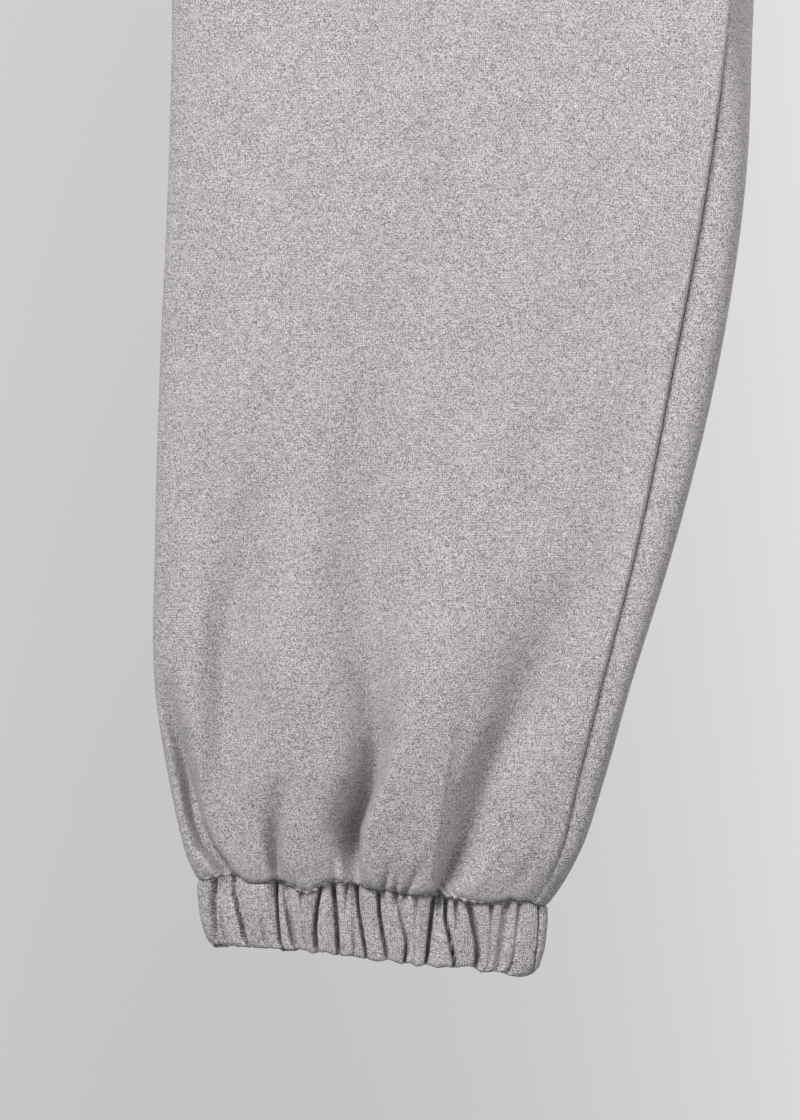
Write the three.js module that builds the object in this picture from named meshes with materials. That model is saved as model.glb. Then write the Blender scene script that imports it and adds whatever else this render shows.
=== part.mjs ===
// Jogger sweatpants in heavy heather-grey knit, hanging open from the waistband.
// Millimetres, +Z up. The wearer's front faces -Y and the wearer's right leg is at -X.
// The origin is the centre of the waistband's top edge.

import * as THREE from 'three';

// Cloth and seams
const WALL = 1.6;
const SEAM_GAP = 0.3;
const HALF_GAP = SEAM_GAP / 2;

// Heights, from the waistband's top edge down
const WAISTBAND_HEIGHT = 45;
const WAIST_SEAM_Z = -WAISTBAND_HEIGHT;
const RISE_CURVE_TOP_Z = -230;
const CROTCH_Z = -310;
const CUFF_SEAM_Z = -984.6;
const CUFF_HEIGHT = 26.6;

// The arch between the legs, just under the crotch
const ARCH_HEIGHT = 14;
// The inner leg seam comes forward from the crotch over this drop
const SEAM_FORWARD_DROP = 190;

// The shape of a leg's section at its outer and inner ends: 2 is an ellipse, more is squarer.
// Closing the inner end takes this share of the section's depth.
const OUTER_END_POWER = 2.4;
const FRONT_INNER_END = { power: 4.5, depthLoss: 0.07 };
const BACK_INNER_END = { power: 2.6, depthLoss: 0.145 };

// The leg leans outwards at the cuff, so its lowest rings rise towards the outer side
const CUFF_SEAM_SLOPE = 0.066;
const HEM_SLOPE = 0.076;
const LEAN_START_Z = -900;

// The front panel's edge rolls back over this width before the inner leg seam
const SEAM_ROLL_WIDTH = 5;

// Leg sections. Outer and inner are distances from the centre plane, front and back are half depths.
// Strip is how far the inner leg seam lies in from the inner edge, and roll how deep it sinks there.
const LEG_SECTIONS = [
  { z: -45, outer: 172, inner: 0, front: 16, back: 18, strip: 0, roll: 0 },
  { z: -58, outer: 185, inner: 0, front: 22, back: 26, strip: 0, roll: 0 },
  { z: -80, outer: 206, inner: 0, front: 28, back: 34, strip: 0, roll: 0 },
  { z: -130, outer: 238, inner: 0, front: 33, back: 40, strip: 0, roll: 0 },
  { z: -200, outer: 259, inner: 0, front: 35, back: 42, strip: 0, roll: 0 },
  { z: -310, outer: 272, inner: 9, front: 36, back: 40, strip: 0, roll: 0 },
  { z: -400, outer: 272, inner: 18, front: 34, back: 37, strip: 1, roll: 0.4 },
  { z: -500, outer: 268, inner: 26, front: 32, back: 33, strip: 5, roll: 2 },
  { z: -627, outer: 264.8, inner: 32, front: 30, back: 30, strip: 10.4, roll: 4 },
  { z: -699, outer: 266.4, inner: 35.6, front: 30, back: 29, strip: 16, roll: 4.5 },
  { z: -771, outer: 269.6, inner: 46.4, front: 30, back: 28, strip: 18.5, roll: 4 },
  { z: -843, outer: 271.6, inner: 64, front: 32, back: 29, strip: 15.5, roll: 3.2 },
  { z: -903, outer: 271.6, inner: 82.8, front: 35, back: 31, strip: 12, roll: 2.6 },
  { z: -939, outer: 266.6, inner: 93.4, front: 36, back: 32, strip: 10.5, roll: 2.2 },
  { z: -963, outer: 262, inner: 101.7, front: 33, back: 30, strip: 8, roll: 1.5 },
  { z: -976, outer: 258.6, inner: 108.8, front: 26, back: 24, strip: 6.5, roll: 0.8 },
  { z: CUFF_SEAM_Z, outer: 254.8, inner: 114.8, front: 17, back: 17, strip: 5.6, roll: 0 },
];
const SECTION_KEYS = ['outer', 'inner', 'front', 'back', 'strip', 'roll'];

// Rows of points down a leg panel: each band ends at a height and is cut into steps.
// Pull above 1 crowds the steps towards the band's end.
const ROW_BANDS = [
  { end: -125, steps: 4, pull: 0.7 },
  { end: RISE_CURVE_TOP_Z, steps: 2, pull: 1 },
  { end: CROTCH_Z, steps: 6, pull: 2 },
  { end: -400, steps: 6, pull: 0.5 },
  { end: -835, steps: 7, pull: 1.1 },
  { end: CUFF_SEAM_Z, steps: 10, pull: 1.8 },
];
const FRONT_STEPS = 24;
const BACK_STEPS = 18;
// How far the columns crowd towards the seams, from 0, even, to nearly 1
const FRONT_CROWDING = 0.35;
const BACK_CROWDING = 0.7;
const OUTLINE_SAMPLES = 160;
// A band's direction is taken between points this share of its girth to each side
const TANGENT_SHARE = 0.003;

// Folds that the gathered cuff sends up a panel. Hem and top are places across the panel, from 0 at
// the outer edge to 1 at the inner edge, rise is the fold's height and the rest are its half widths.
const FRONT_FOLDS_RIGHT = [
  { hem: 0.08, top: 0.02, rise: 74, depth: 3.5, hemWidth: 5, topWidth: 5 },
  { hem: 0.235, top: 0.27, rise: 36, depth: 2.6, hemWidth: 5, topWidth: 9 },
  { hem: 0.39, top: 0.38, rise: 18, depth: 1.6, hemWidth: 4, topWidth: 5 },
  { hem: 0.455, top: 0.4, rise: 192, depth: 5.2, hemWidth: 6, topWidth: 20 },
  { hem: 0.61, top: 0.63, rise: 44, depth: 1.8, hemWidth: 5, topWidth: 8 },
  { hem: 0.73, top: 0.77, rise: 120, depth: 5, hemWidth: 7, topWidth: 20 },
  { hem: 0.9, top: 0.88, rise: 30, depth: 1.6, hemWidth: 5, topWidth: 7 },
];
const FRONT_FOLDS_LEFT = [
  { hem: 0.1, top: 0.06, rise: 58, depth: 3, hemWidth: 5, topWidth: 7 },
  { hem: 0.27, top: 0.3, rise: 96, depth: 3.6, hemWidth: 6, topWidth: 15 },
  { hem: 0.42, top: 0.43, rise: 26, depth: 2, hemWidth: 4, topWidth: 6 },
  { hem: 0.56, top: 0.5, rise: 168, depth: 5, hemWidth: 7, topWidth: 19 },
  { hem: 0.71, top: 0.73, rise: 38, depth: 2.4, hemWidth: 5, topWidth: 8 },
  { hem: 0.83, top: 0.84, rise: 82, depth: 3.4, hemWidth: 6, topWidth: 12 },
];
const BACK_FOLDS_RIGHT = [
  { hem: 0.14, top: 0.1, rise: 62, depth: 3, hemWidth: 6, topWidth: 9 },
  { hem: 0.31, top: 0.34, rise: 130, depth: 4.6, hemWidth: 7, topWidth: 18 },
  { hem: 0.47, top: 0.46, rise: 34, depth: 2.2, hemWidth: 5, topWidth: 8 },
  { hem: 0.62, top: 0.58, rise: 176, depth: 4.8, hemWidth: 7, topWidth: 20 },
  { hem: 0.81, top: 0.83, rise: 70, depth: 3.2, hemWidth: 6, topWidth: 11 },
];
const BACK_FOLDS_LEFT = [
  { hem: 0.18, top: 0.21, rise: 84, depth: 3.6, hemWidth: 6, topWidth: 12 },
  { hem: 0.36, top: 0.35, rise: 40, depth: 2.4, hemWidth: 5, topWidth: 9 },
  { hem: 0.52, top: 0.56, rise: 150, depth: 5, hemWidth: 7, topWidth: 19 },
  { hem: 0.68, top: 0.66, rise: 48, depth: 2.6, hemWidth: 5, topWidth: 9 },
  { hem: 0.85, top: 0.8, rise: 104, depth: 3.4, hemWidth: 6, topWidth: 14 },
];
// A fold is shallower at the seam, where the cuff holds it, over this share of its rise,
// and it fades towards its top by this power
const SEAM_HOLD = 0.5;
const SEAM_HOLD_SHARE = 0.15;
const FOLD_FADE = 1.4;

// Short gathers under the waistband, by how many cross half a front or a back
const WAIST_GATHERS = 5;
const WAIST_GATHER_DROP = 60;
const WAIST_GATHER_DEPTH = 2.4;
const WAIST_GATHER_FADE = 1.5;

// Elastic bands: a folded band with gathers on its outside and a plain inside.
// Each gather is a groove and then a lobe, given by its places and heights between two grooves.
const LOBE_STEPS = [
  { along: 0, lobe: 0 },
  { along: 0.3, lobe: 1 },
  { along: 0.7, lobe: 1 },
];
// Uneven spacing comes from two waves along the row of gathers
const GATHER_UNEVENNESS = 0.22;
const SPACING_WAVES = [
  { share: 0.6, pace: 2.4, start: 0 },
  { share: 0.4, pace: 5.1, start: 1 },
];

// Places of the gathers on half a cuff's girth, from the outer edge to the inner edge
const CUFF_GATHERS_FRONT_RIGHT = [
  0.09, 0.13, 0.17, 0.23, 0.265, 0.295, 0.36, 0.405, 0.435, 0.47, 0.525, 0.575, 0.64, 0.68, 0.745, 0.82, 0.91,
];
const CUFF_GATHERS_ELSEWHERE = 16;

// A band's outside from its seam to its folded edge. Drop is a share of its height, ends how far its
// two ends draw in, fold how far its outside rounds in, and groove the share of the gathers' depth.
const CUFF = {
  wall: 3.4,
  grooveDepth: 1.7,
  profile: [
    { drop: 0, ends: 0.3, fold: 0.3, groove: 0.7 },
    { drop: 0.25, ends: 0, fold: 0, groove: 1 },
    { drop: 0.6, ends: 1, fold: 0, groove: 1 },
    { drop: 0.88, ends: 3.2, fold: 0.3, groove: 0.9 },
    { drop: 1, ends: 6.2, fold: 1.2, groove: 0.5 },
  ],
};
const WAISTBAND = {
  wall: 3.6,
  grooveDepth: 1.5,
  gathers: 48,
  profile: [
    { drop: 0, ends: 0.6, fold: 1.2, groove: 0.5 },
    { drop: 0.14, ends: 0, fold: 0.2, groove: 1 },
    { drop: 0.6, ends: 0, fold: 0, groove: 1 },
    { drop: 1, ends: 0.2, fold: 0.3, groove: 0.8 },
  ],
};

const FRONT = -1;
const BACK = 1;
const RIGHT = 1;
const LEFT = -1;

const HEATHER_GREY = new THREE.MeshStandardMaterial({ color: '#afadaf', roughness: 0.95, metalness: 0 });

const clamp01 = (value) => THREE.MathUtils.clamp(value, 0, 1);
const mix = THREE.MathUtils.lerp;

// Smooth curves through the section table, from a depth below the waistband's top edge
const sectionCurves = new THREE.CubicInterpolant(
  LEG_SECTIONS.map((row) => -row.z),
  LEG_SECTIONS.flatMap((row) => SECTION_KEYS.map((key) => row[key])),
  SECTION_KEYS.length,
  new Float64Array(SECTION_KEYS.length),
);

// A leg's section at a height. Open is 1 where the two legs are one body and 0 from the crotch down.
function legSection(z) {
  const values = sectionCurves.evaluate(-z);
  const section = Object.fromEntries(SECTION_KEYS.map((key, index) => [key, values[index]]));
  const archShare = clamp01((CROTCH_Z - z) / ARCH_HEIGHT);
  section.inner = Math.max(section.inner * Math.sqrt(1 - (1 - archShare) ** 2), HALF_GAP);
  const seamForward = clamp01((CROTCH_Z - z) / SEAM_FORWARD_DROP);
  section.strip = Math.max(section.strip, 0) * seamForward ** FRONT_INNER_END.power;
  section.roll = Math.max(section.roll, 0) * seamForward;
  const riseShare = clamp01((RISE_CURVE_TOP_Z - z) / (RISE_CURVE_TOP_Z - CROTCH_Z));
  section.open = Math.sqrt(1 - riseShare ** 2);
  section.z = z;
  return section;
}

// Share of a section's half depth at t, 0 at the outer edge and 1 at the inner edge or the centre plane
function lensShare(section, side, t) {
  const { power, depthLoss } = side === FRONT ? FRONT_INNER_END : BACK_INNER_END;
  const close = 1 - section.open ** power;
  const outerEnd = (1 - (1 - t) ** OUTER_END_POWER) ** (1 / OUTER_END_POWER);
  const innerEnd = Math.max(0, 1 - close * t ** power) ** (1 / power);
  return (outerEnd * innerEnd) / (1 - depthLoss * close);
}

// How deep all of a panel's folds are at a point
function foldDepth(folds, section, t) {
  const width = section.outer - section.inner;
  const height = section.z - CUFF_SEAM_Z;
  return folds.reduce((sum, fold) => {
    const up = height / fold.rise;
    if (up >= 1) {
      return sum;
    }
    const place = mix(fold.hem, fold.top, up);
    const halfWidth = mix(fold.hemWidth, fold.topWidth, up);
    const across = ((t - place) * width) / halfWidth;
    const hold = mix(SEAM_HOLD, 1, clamp01(up / SEAM_HOLD_SHARE));
    return sum + fold.depth * hold * (1 - up) ** FOLD_FADE * Math.exp(-(across ** 2));
  }, 0);
}

// How deep the short gathers under the waistband are at a point
function waistGatherDepth(section, t) {
  const down = (WAIST_SEAM_Z - section.z) / WAIST_GATHER_DROP;
  if (down >= 1) {
    return 0;
  }
  const wave = 0.5 - 0.5 * Math.cos(2 * Math.PI * WAIST_GATHERS * t);
  return WAIST_GATHER_DEPTH * (1 - down) ** WAIST_GATHER_FADE * wave;
}

// One point of a section's outline on the front or the back of the right leg
function outlinePoint(section, folds, side, t) {
  const lens = lensShare(section, side, t);
  const halfDepth = side === FRONT ? section.front : section.back;
  const sunk = foldDepth(folds, section, t) + waistGatherDepth(section, t);
  const depth = Math.max(halfDepth * lens - sunk * Math.min(1, 2 * lens), 0);
  const width = section.outer - section.inner;
  const x = -mix(section.outer, section.inner, t);
  return new THREE.Vector2(x, side * depth + (side === FRONT ? seamRoll(section, t, width) : 0));
}

// How far the front sinks at the inner leg seam, fading out on the strip behind it
function seamRoll(section, t, width) {
  const pastSeam = section.strip - (1 - t) * width;
  const before = THREE.MathUtils.smoothstep(pastSeam, -SEAM_ROLL_WIDTH, 0);
  const after = section.strip > 0 ? THREE.MathUtils.smoothstep(pastSeam, 0, section.strip) : 0;
  return section.roll * before * (1 - after);
}

// Values of t between two ends, crowded towards 0 and 1 where the outline turns fast
function outlineSteps(from, to) {
  return Array.from({ length: OUTLINE_SAMPLES + 1 }, (_, index) => {
    const share = mix(Math.acos(1 - 2 * from), Math.acos(1 - 2 * to), index / OUTLINE_SAMPLES);
    return (1 - Math.cos(share)) / 2;
  });
}

// Points at given shares of a line's length
function spread(line, shares) {
  const lengths = [0];
  line.slice(1).forEach((point, index) => lengths.push(lengths[index] + point.distanceTo(line[index])));
  const total = lengths[lengths.length - 1];
  let segment = 0;
  return shares.map((share) => {
    const goal = share * total;
    while (segment < line.length - 2 && lengths[segment + 1] < goal) {
      segment += 1;
    }
    const along = (goal - lengths[segment]) / (lengths[segment + 1] - lengths[segment]);
    return line[segment].clone().lerp(line[segment + 1], clamp01(along));
  });
}

function crowdedShares(steps, crowding) {
  return Array.from({ length: steps + 1 }, (_, index) => {
    const share = index / steps;
    return share - (crowding * Math.sin(2 * Math.PI * share)) / (2 * Math.PI);
  });
}

// A ring's point in space: the lowest rings lean, so their outer side is higher
function lean(point, section, slope) {
  const centre = -(section.outer + section.inner) / 2;
  return new THREE.Vector3(point.x, point.y, section.z - slope * (point.x - centre));
}

function legSlope(z) {
  return CUFF_SEAM_SLOPE * clamp01((LEAN_START_Z - z) / (LEAN_START_Z - CUFF_SEAM_Z));
}

// Heights of the rows of a leg panel
function rowHeights() {
  const heights = [WAIST_SEAM_Z - HALF_GAP];
  for (const band of ROW_BANDS) {
    const start = heights[heights.length - 1];
    for (let step = 1; step <= band.steps; step += 1) {
      heights.push(mix(start, band.end, 1 - (1 - step / band.steps) ** band.pull));
    }
  }
  heights[heights.length - 1] += HALF_GAP;
  return heights;
}

// Rows of outer points of a leg: the front from the outer seam to the inner seam, then the back
function legRows(frontFolds, backFolds) {
  const frontShares = crowdedShares(FRONT_STEPS, FRONT_CROWDING);
  const backShares = crowdedShares(BACK_STEPS, BACK_CROWDING);
  return rowHeights().map((z) => {
    const section = legSection(z);
    const seamPlace = 1 - section.strip / (section.outer - section.inner);
    const frontLine = outlineSteps(0, seamPlace).map((t) => outlinePoint(section, frontFolds, FRONT, t));
    const stripLine = outlineSteps(seamPlace, 1).map((t) => outlinePoint(section, frontFolds, FRONT, t));
    const backLine = outlineSteps(1, 0).map((t) => outlinePoint(section, backFolds, BACK, t));
    const wholeBack = section.strip > 0 ? [...stripLine, ...backLine.slice(1)] : backLine;
    const place = (point) => lean(point, section, legSlope(z));
    return {
      z,
      joined: z <= CROTCH_Z,
      front: spread(frontLine, frontShares).map(place),
      back: spread(wholeBack, backShares).map(place),
    };
  });
}

const difference = (a, b) => new THREE.Vector3().subVectors(a, b);

// Outward directions of one panel's rows, shared with its neighbour along the seams
function panelNormals(rows, key, otherKey) {
  return rows.map((row, index) => {
    const above = rows[Math.max(index - 1, 0)];
    const below = rows[Math.min(index + 1, rows.length - 1)];
    const last = row[key].length - 1;
    const otherLast = row[otherKey].length - 1;
    return row[key].map((_, column) => {
      const atOuterSeam = column === (key === 'front' ? 0 : last);
      const atInnerSeam = column === (key === 'front' ? last : 0);
      if (atInnerSeam && !row.joined) {
        const normal = centreSeamNormal(above[key][column], below[key][column], key);
        return index === 0 ? flattenToSeam(normal, row.z) : normal;
      }
      if (atInnerSeam && !above.joined) {
        return new THREE.Vector3(0, 0, -1);
      }
      let before = row[key][Math.max(column - 1, 0)];
      let after = row[key][Math.min(column + 1, last)];
      if (atInnerSeam) {
        before = row.front[row.front.length - 2];
        after = row.back[1];
      }
      if (atOuterSeam) {
        before = key === 'front' ? row[otherKey][otherLast - 1] : row[key][last - 1];
        after = key === 'front' ? row[key][1] : row[otherKey][1];
      }
      const down = difference(below[key][column], above[key][column]);
      const normal = down.cross(difference(after, before)).normalize();
      return index === 0 || index === rows.length - 1 ? flattenToSeam(normal, row.z) : normal;
    });
  });
}

// The centre seams lie in the centre plane, so their outward direction does too
function centreSeamNormal(above, below, key) {
  const down = difference(below, above);
  const side = key === 'front' ? FRONT : BACK;
  return new THREE.Vector3(0, -side * down.z, side * down.y).normalize();
}

// Keeps a rim in the plane of the seam that it is sewn to
function flattenToSeam(normal, z) {
  const slope = legSlope(z);
  const seamUp = new THREE.Vector3(slope, 0, 1).normalize();
  return normal.addScaledVector(seamUp, -normal.dot(seamUp)).normalize();
}

// Draws a panel's edge points back from the seam by half the gap
function trimSeams(points) {
  const last = points.length - 1;
  const trimmed = points.map((point) => point.clone());
  trimmed[0].addScaledVector(difference(points[1], points[0]).normalize(), HALF_GAP);
  trimmed[last].addScaledVector(difference(points[last - 1], points[last]).normalize(), HALF_GAP);
  trimmed.forEach((point) => {
    point.x = Math.min(point.x, -HALF_GAP);
  });
  return trimmed;
}

function geometryFrom(points, faces) {
  const geometry = new THREE.BufferGeometry();
  geometry.setAttribute('position', new THREE.Float32BufferAttribute(points.flatMap((p) => p.toArray()), 3));
  geometry.setIndex(faces);
  geometry.computeVertexNormals();
  return geometry;
}

function pushQuad(faces, a, b, c, d, flip) {
  if (flip) {
    faces.push(a, c, b, a, d, c);
  } else {
    faces.push(a, b, c, a, c, d);
  }
}

// A closed wall between a grid of outer points and a grid of inner points
function wallGeometry(outer, inner, flip) {
  const rowCount = outer.length;
  const columnCount = outer[0].length;
  const innerStart = rowCount * columnCount;
  const at = (row, column) => row * columnCount + column;
  const faces = [];
  for (let row = 0; row < rowCount - 1; row += 1) {
    for (let column = 0; column < columnCount - 1; column += 1) {
      const corners = [at(row, column), at(row + 1, column), at(row + 1, column + 1), at(row, column + 1)];
      pushQuad(faces, ...corners, flip);
      pushQuad(faces, ...corners.map((corner) => corner + innerStart), !flip);
    }
  }
  const rim = [];
  const topToBottom = Array.from({ length: rowCount - 1 }, (_, row) => row);
  const leftToRight = Array.from({ length: columnCount - 1 }, (_, column) => column);
  leftToRight.forEach((column) => rim.push(at(0, column)));
  topToBottom.forEach((row) => rim.push(at(row, columnCount - 1)));
  leftToRight.forEach((column) => rim.push(at(rowCount - 1, columnCount - 1 - column)));
  topToBottom.forEach((row) => rim.push(at(rowCount - 1 - row, 0)));
  rim.forEach((corner, index) => {
    const next = rim[(index + 1) % rim.length];
    const corners = [corner, next, next + innerStart, corner + innerStart];
    // Turned where the rim runs back, so that both sides of a seam are cut along the same diagonal
    const turned = next < corner ? [...corners.slice(1), corners[0]] : corners;
    pushQuad(faces, ...turned, flip);
  });
  return geometryFrom([...outer.flat(), ...inner.flat()], faces);
}

// Reflects points for the left leg
function toLeg(grid, side) {
  return grid.map((row) => row.map((point) => new THREE.Vector3(point.x * side, point.y, point.z)));
}

function legPanel(name, rows, key, side) {
  const normals = panelNormals(rows, key, key === 'front' ? 'back' : 'front');
  const outer = rows.map((row) => trimSeams(row[key]));
  const inner = outer.map((line, row) => line.map(
    (point, column) => point.clone().addScaledVector(normals[row][column], -WALL),
  ));
  const geometry = wallGeometry(toLeg(outer, side), toLeg(inner, side), side === LEFT);
  const mesh = new THREE.Mesh(geometry, HEATHER_GREY);
  mesh.name = name;
  return mesh;
}

function leg(suffix, side, frontFolds, backFolds) {
  const rows = legRows(frontFolds, backFolds);
  const group = new THREE.Group();
  group.add(legPanel(`front_leg_${suffix}`, rows, 'front', side));
  group.add(legPanel(`back_leg_${suffix}`, rows, 'back', side));
  return group;
}

// Gather places on a stretch of a band's girth, uneven by a fixed wave
function unevenPlaces(count) {
  return Array.from({ length: count }, (_, index) => {
    const shift = SPACING_WAVES.reduce(
      (sum, { share, pace, start }) => sum + share * Math.sin(index * pace + start),
      0,
    );
    return (index + 0.5 + GATHER_UNEVENNESS * shift) / count;
  });
}

// Every column of a band: its share of the girth and its lobe height, 0 in a gather's groove
function bandColumns(gathers) {
  return gathers.flatMap((place, index) => {
    const next = gathers[index + 1] ?? gathers[0] + 1;
    return LOBE_STEPS.map(({ along, lobe }) => ({ share: mix(place, next, along) % 1, lobe }));
  });
}

// Places round a whole cuff, from the places on its front half and its back half
function cuffGathers(front, back) {
  return [...front.map((place) => place / 2), ...back.map((place) => (1 + place) / 2)];
}

// One side of a section's outline without folds, from the outer edge to the inner edge or the centre
function plainLine(section, side) {
  return outlineSteps(0, 1).map((t) => {
    const halfDepth = side === FRONT ? section.front : section.back;
    const x = -mix(section.outer, section.inner, t);
    return new THREE.Vector2(x, side * halfDepth * lensShare(section, side, t));
  });
}

const mirrored = (line) => line.map((point) => new THREE.Vector2(-point.x, point.y));

function cuffGirth() {
  const section = legSection(CUFF_SEAM_Z);
  return [...plainLine(section, FRONT), ...plainLine(section, BACK).reverse().slice(1)];
}

function waistbandGirth() {
  const section = legSection(WAIST_SEAM_Z);
  const front = plainLine(section, FRONT);
  const back = plainLine(section, BACK);
  const frontHalf = [...front, ...mirrored(front).reverse().slice(1)];
  return [...frontHalf, ...mirrored(back).slice(1), ...back.reverse().slice(1)];
}

// The place and outward direction on a girth line for each column
function bandStations(girth, columns) {
  const around = (shift) => columns.map(({ share }) => {
    const [point] = spread(girth, [(share + shift + 1) % 1]);
    return point;
  });
  const before = around(-TANGENT_SHARE);
  const after = around(TANGENT_SHARE);
  return around(0).map((point, index) => {
    const along = after[index].clone().sub(before[index]).normalize();
    return { point, out: new THREE.Vector2(along.y, -along.x), lobe: columns[index].lobe };
  });
}

// A gathered band round a girth: a closed ring with a gathered outside and a plain inside.
// Place puts a flat point at a share of the band's height.
function bandGeometry(stations, band, place, flip) {
  const { profile, wall, grooveDepth } = band;
  const across = stations.map(({ point }) => point.x);
  const halfWidth = (Math.max(...across) - Math.min(...across)) / 2;
  const centre = Math.max(...across) - halfWidth;
  const insideSteps = [profile[profile.length - 1], profile[0]];
  const loops = stations.map(({ point, out, lobe }) => {
    const drawn = (ends, inward) => {
      const moved = point.clone().addScaledVector(out, -inward);
      moved.x = centre + (moved.x - centre) * (1 - ends / halfWidth);
      return moved;
    };
    const outside = profile.map(({ drop, ends, fold, groove }) => (
      place(drawn(ends, fold + grooveDepth * groove * (1 - lobe)), drop)
    ));
    const inside = insideSteps.map(({ drop, ends }) => place(drawn(ends, wall), drop));
    return [...outside, ...inside];
  });
  const loopLength = loops[0].length;
  const faces = [];
  loops.forEach((_, column) => {
    const here = column * loopLength;
    const there = ((column + 1) % loops.length) * loopLength;
    for (let step = 0; step < loopLength; step += 1) {
      const after = (step + 1) % loopLength;
      pushQuad(faces, here + step, here + after, there + after, there + step, flip);
    }
  });
  return geometryFrom(loops.flat(), faces);
}

function cuff(name, side, gathers) {
  const stations = bandStations(cuffGirth(), bandColumns(gathers));
  const { outer, inner } = legSection(CUFF_SEAM_Z);
  const centre = -(outer + inner) / 2;
  const place = (point, drop) => {
    const slope = mix(CUFF_SEAM_SLOPE, HEM_SLOPE, drop);
    const level = CUFF_SEAM_Z - HALF_GAP - drop * CUFF_HEIGHT;
    return new THREE.Vector3(point.x * side, point.y, level - slope * (point.x - centre));
  };
  const mesh = new THREE.Mesh(bandGeometry(stations, CUFF, place, side === LEFT), HEATHER_GREY);
  mesh.name = name;
  return mesh;
}

function waistband() {
  const stations = bandStations(waistbandGirth(), bandColumns(unevenPlaces(WAISTBAND.gathers)));
  const height = WAISTBAND_HEIGHT - HALF_GAP;
  const place = (point, drop) => new THREE.Vector3(point.x, point.y, -drop * height);
  const mesh = new THREE.Mesh(bandGeometry(stations, WAISTBAND, place, false), HEATHER_GREY);
  mesh.name = 'waistband';
  return mesh;
}

const elsewhere = unevenPlaces(CUFF_GATHERS_ELSEWHERE);
const sweatpants = new THREE.Group();
sweatpants.name = 'jogger_sweatpants';
sweatpants.add(leg('right', RIGHT, FRONT_FOLDS_RIGHT, BACK_FOLDS_RIGHT));
sweatpants.add(leg('left', LEFT, FRONT_FOLDS_LEFT, BACK_FOLDS_LEFT));
sweatpants.add(cuff('cuff_right', RIGHT, cuffGathers(CUFF_GATHERS_FRONT_RIGHT, elsewhere)));
sweatpants.add(cuff('cuff_left', LEFT, cuffGathers(elsewhere, elsewhere)));
sweatpants.add(waistband());

export default sweatpants;
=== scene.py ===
"""Jogger sweatpants in heavy heather-grey sweatshirt knit, hanging open from the waistband."""
import logging
import math
from dataclasses import dataclass
from enum import Enum

import bpy
import numpy as np
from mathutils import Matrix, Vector


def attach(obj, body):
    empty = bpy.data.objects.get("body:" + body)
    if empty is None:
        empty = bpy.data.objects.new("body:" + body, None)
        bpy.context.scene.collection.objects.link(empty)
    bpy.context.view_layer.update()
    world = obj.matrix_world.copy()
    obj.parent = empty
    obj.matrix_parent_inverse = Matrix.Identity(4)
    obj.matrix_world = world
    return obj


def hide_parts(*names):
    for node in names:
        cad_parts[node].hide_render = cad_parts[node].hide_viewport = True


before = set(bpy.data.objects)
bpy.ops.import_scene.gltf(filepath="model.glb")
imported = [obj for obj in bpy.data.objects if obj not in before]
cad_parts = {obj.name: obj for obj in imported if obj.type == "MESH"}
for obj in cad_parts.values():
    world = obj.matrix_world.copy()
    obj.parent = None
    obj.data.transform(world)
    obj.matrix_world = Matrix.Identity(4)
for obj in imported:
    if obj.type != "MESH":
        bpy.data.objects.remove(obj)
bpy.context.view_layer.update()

LOG = logging.getLogger("sweatpants")
MM = 0.001
TURN = 2 * math.pi
ROOT_BODY = "root"
PLACE_ATTRIBUTE = "knit_place"

# Heights below the waistband's top edge, in mm
WAIST_SEAM_Z = -45.0
RISE_CURVE_TOP_Z = -230.0
CROTCH_Z = -310.0
LEAN_START_Z = -900.0
CUFF_SEAM_Z = -984.6
CUFF_HEIGHT = 26.6

# Form of the leg, in mm
ARCH_HEIGHT = 14.0
SEAM_FORWARD_DROP = 190.0
CUFF_WIDTH = 140.0
CUFF_SEAM_SLOPE = 0.066
HEM_SLOPE = 0.076
SEAM_ROLL_WIDTH = 1.6
OUTER_POWER = 2.4
# The boxed front turns back into a plain one over this height above the cuff's seam
BOX_END_HEIGHT = 22.0
# The left cuff's seam waves less than the shown one
LEFT_RISE_SHARE = 0.6
# A band's seam: how far both sides sink into it, from how far, and how sharply
SEAM_DITCH = 0.9
SEAM_DITCH_REACH = 0.75
SEAM_DITCH_POWER = 1.6

# Cloth as it is cut, and how it hangs
HERO_COLUMNS = 360
PANEL_COLUMNS = 210


class Side(Enum):
    """A leg of the garment, by the sign of its X relative to the right leg's own drawing."""

    RIGHT = 1
    LEFT = -1


class Face(Enum):
    """The front or the back of the garment, by the sign of Y."""

    FRONT = -1
    BACK = 1


@dataclass(frozen=True)
class SectionRow:
    """One section of a leg, in mm.

    Attributes:
        z: its height.
        outer: distance of the outer edge from the centre plane.
        inner: distance of the inner edge from the centre plane.
        front: half depth of the front.
        back: half depth of the back.
        strip: width of back panel that shows inside the inner leg seam.
        roll: how far the front rolls into that seam.
    """

    z: float
    outer: float
    inner: float
    front: float
    back: float
    strip: float
    roll: float


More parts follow.
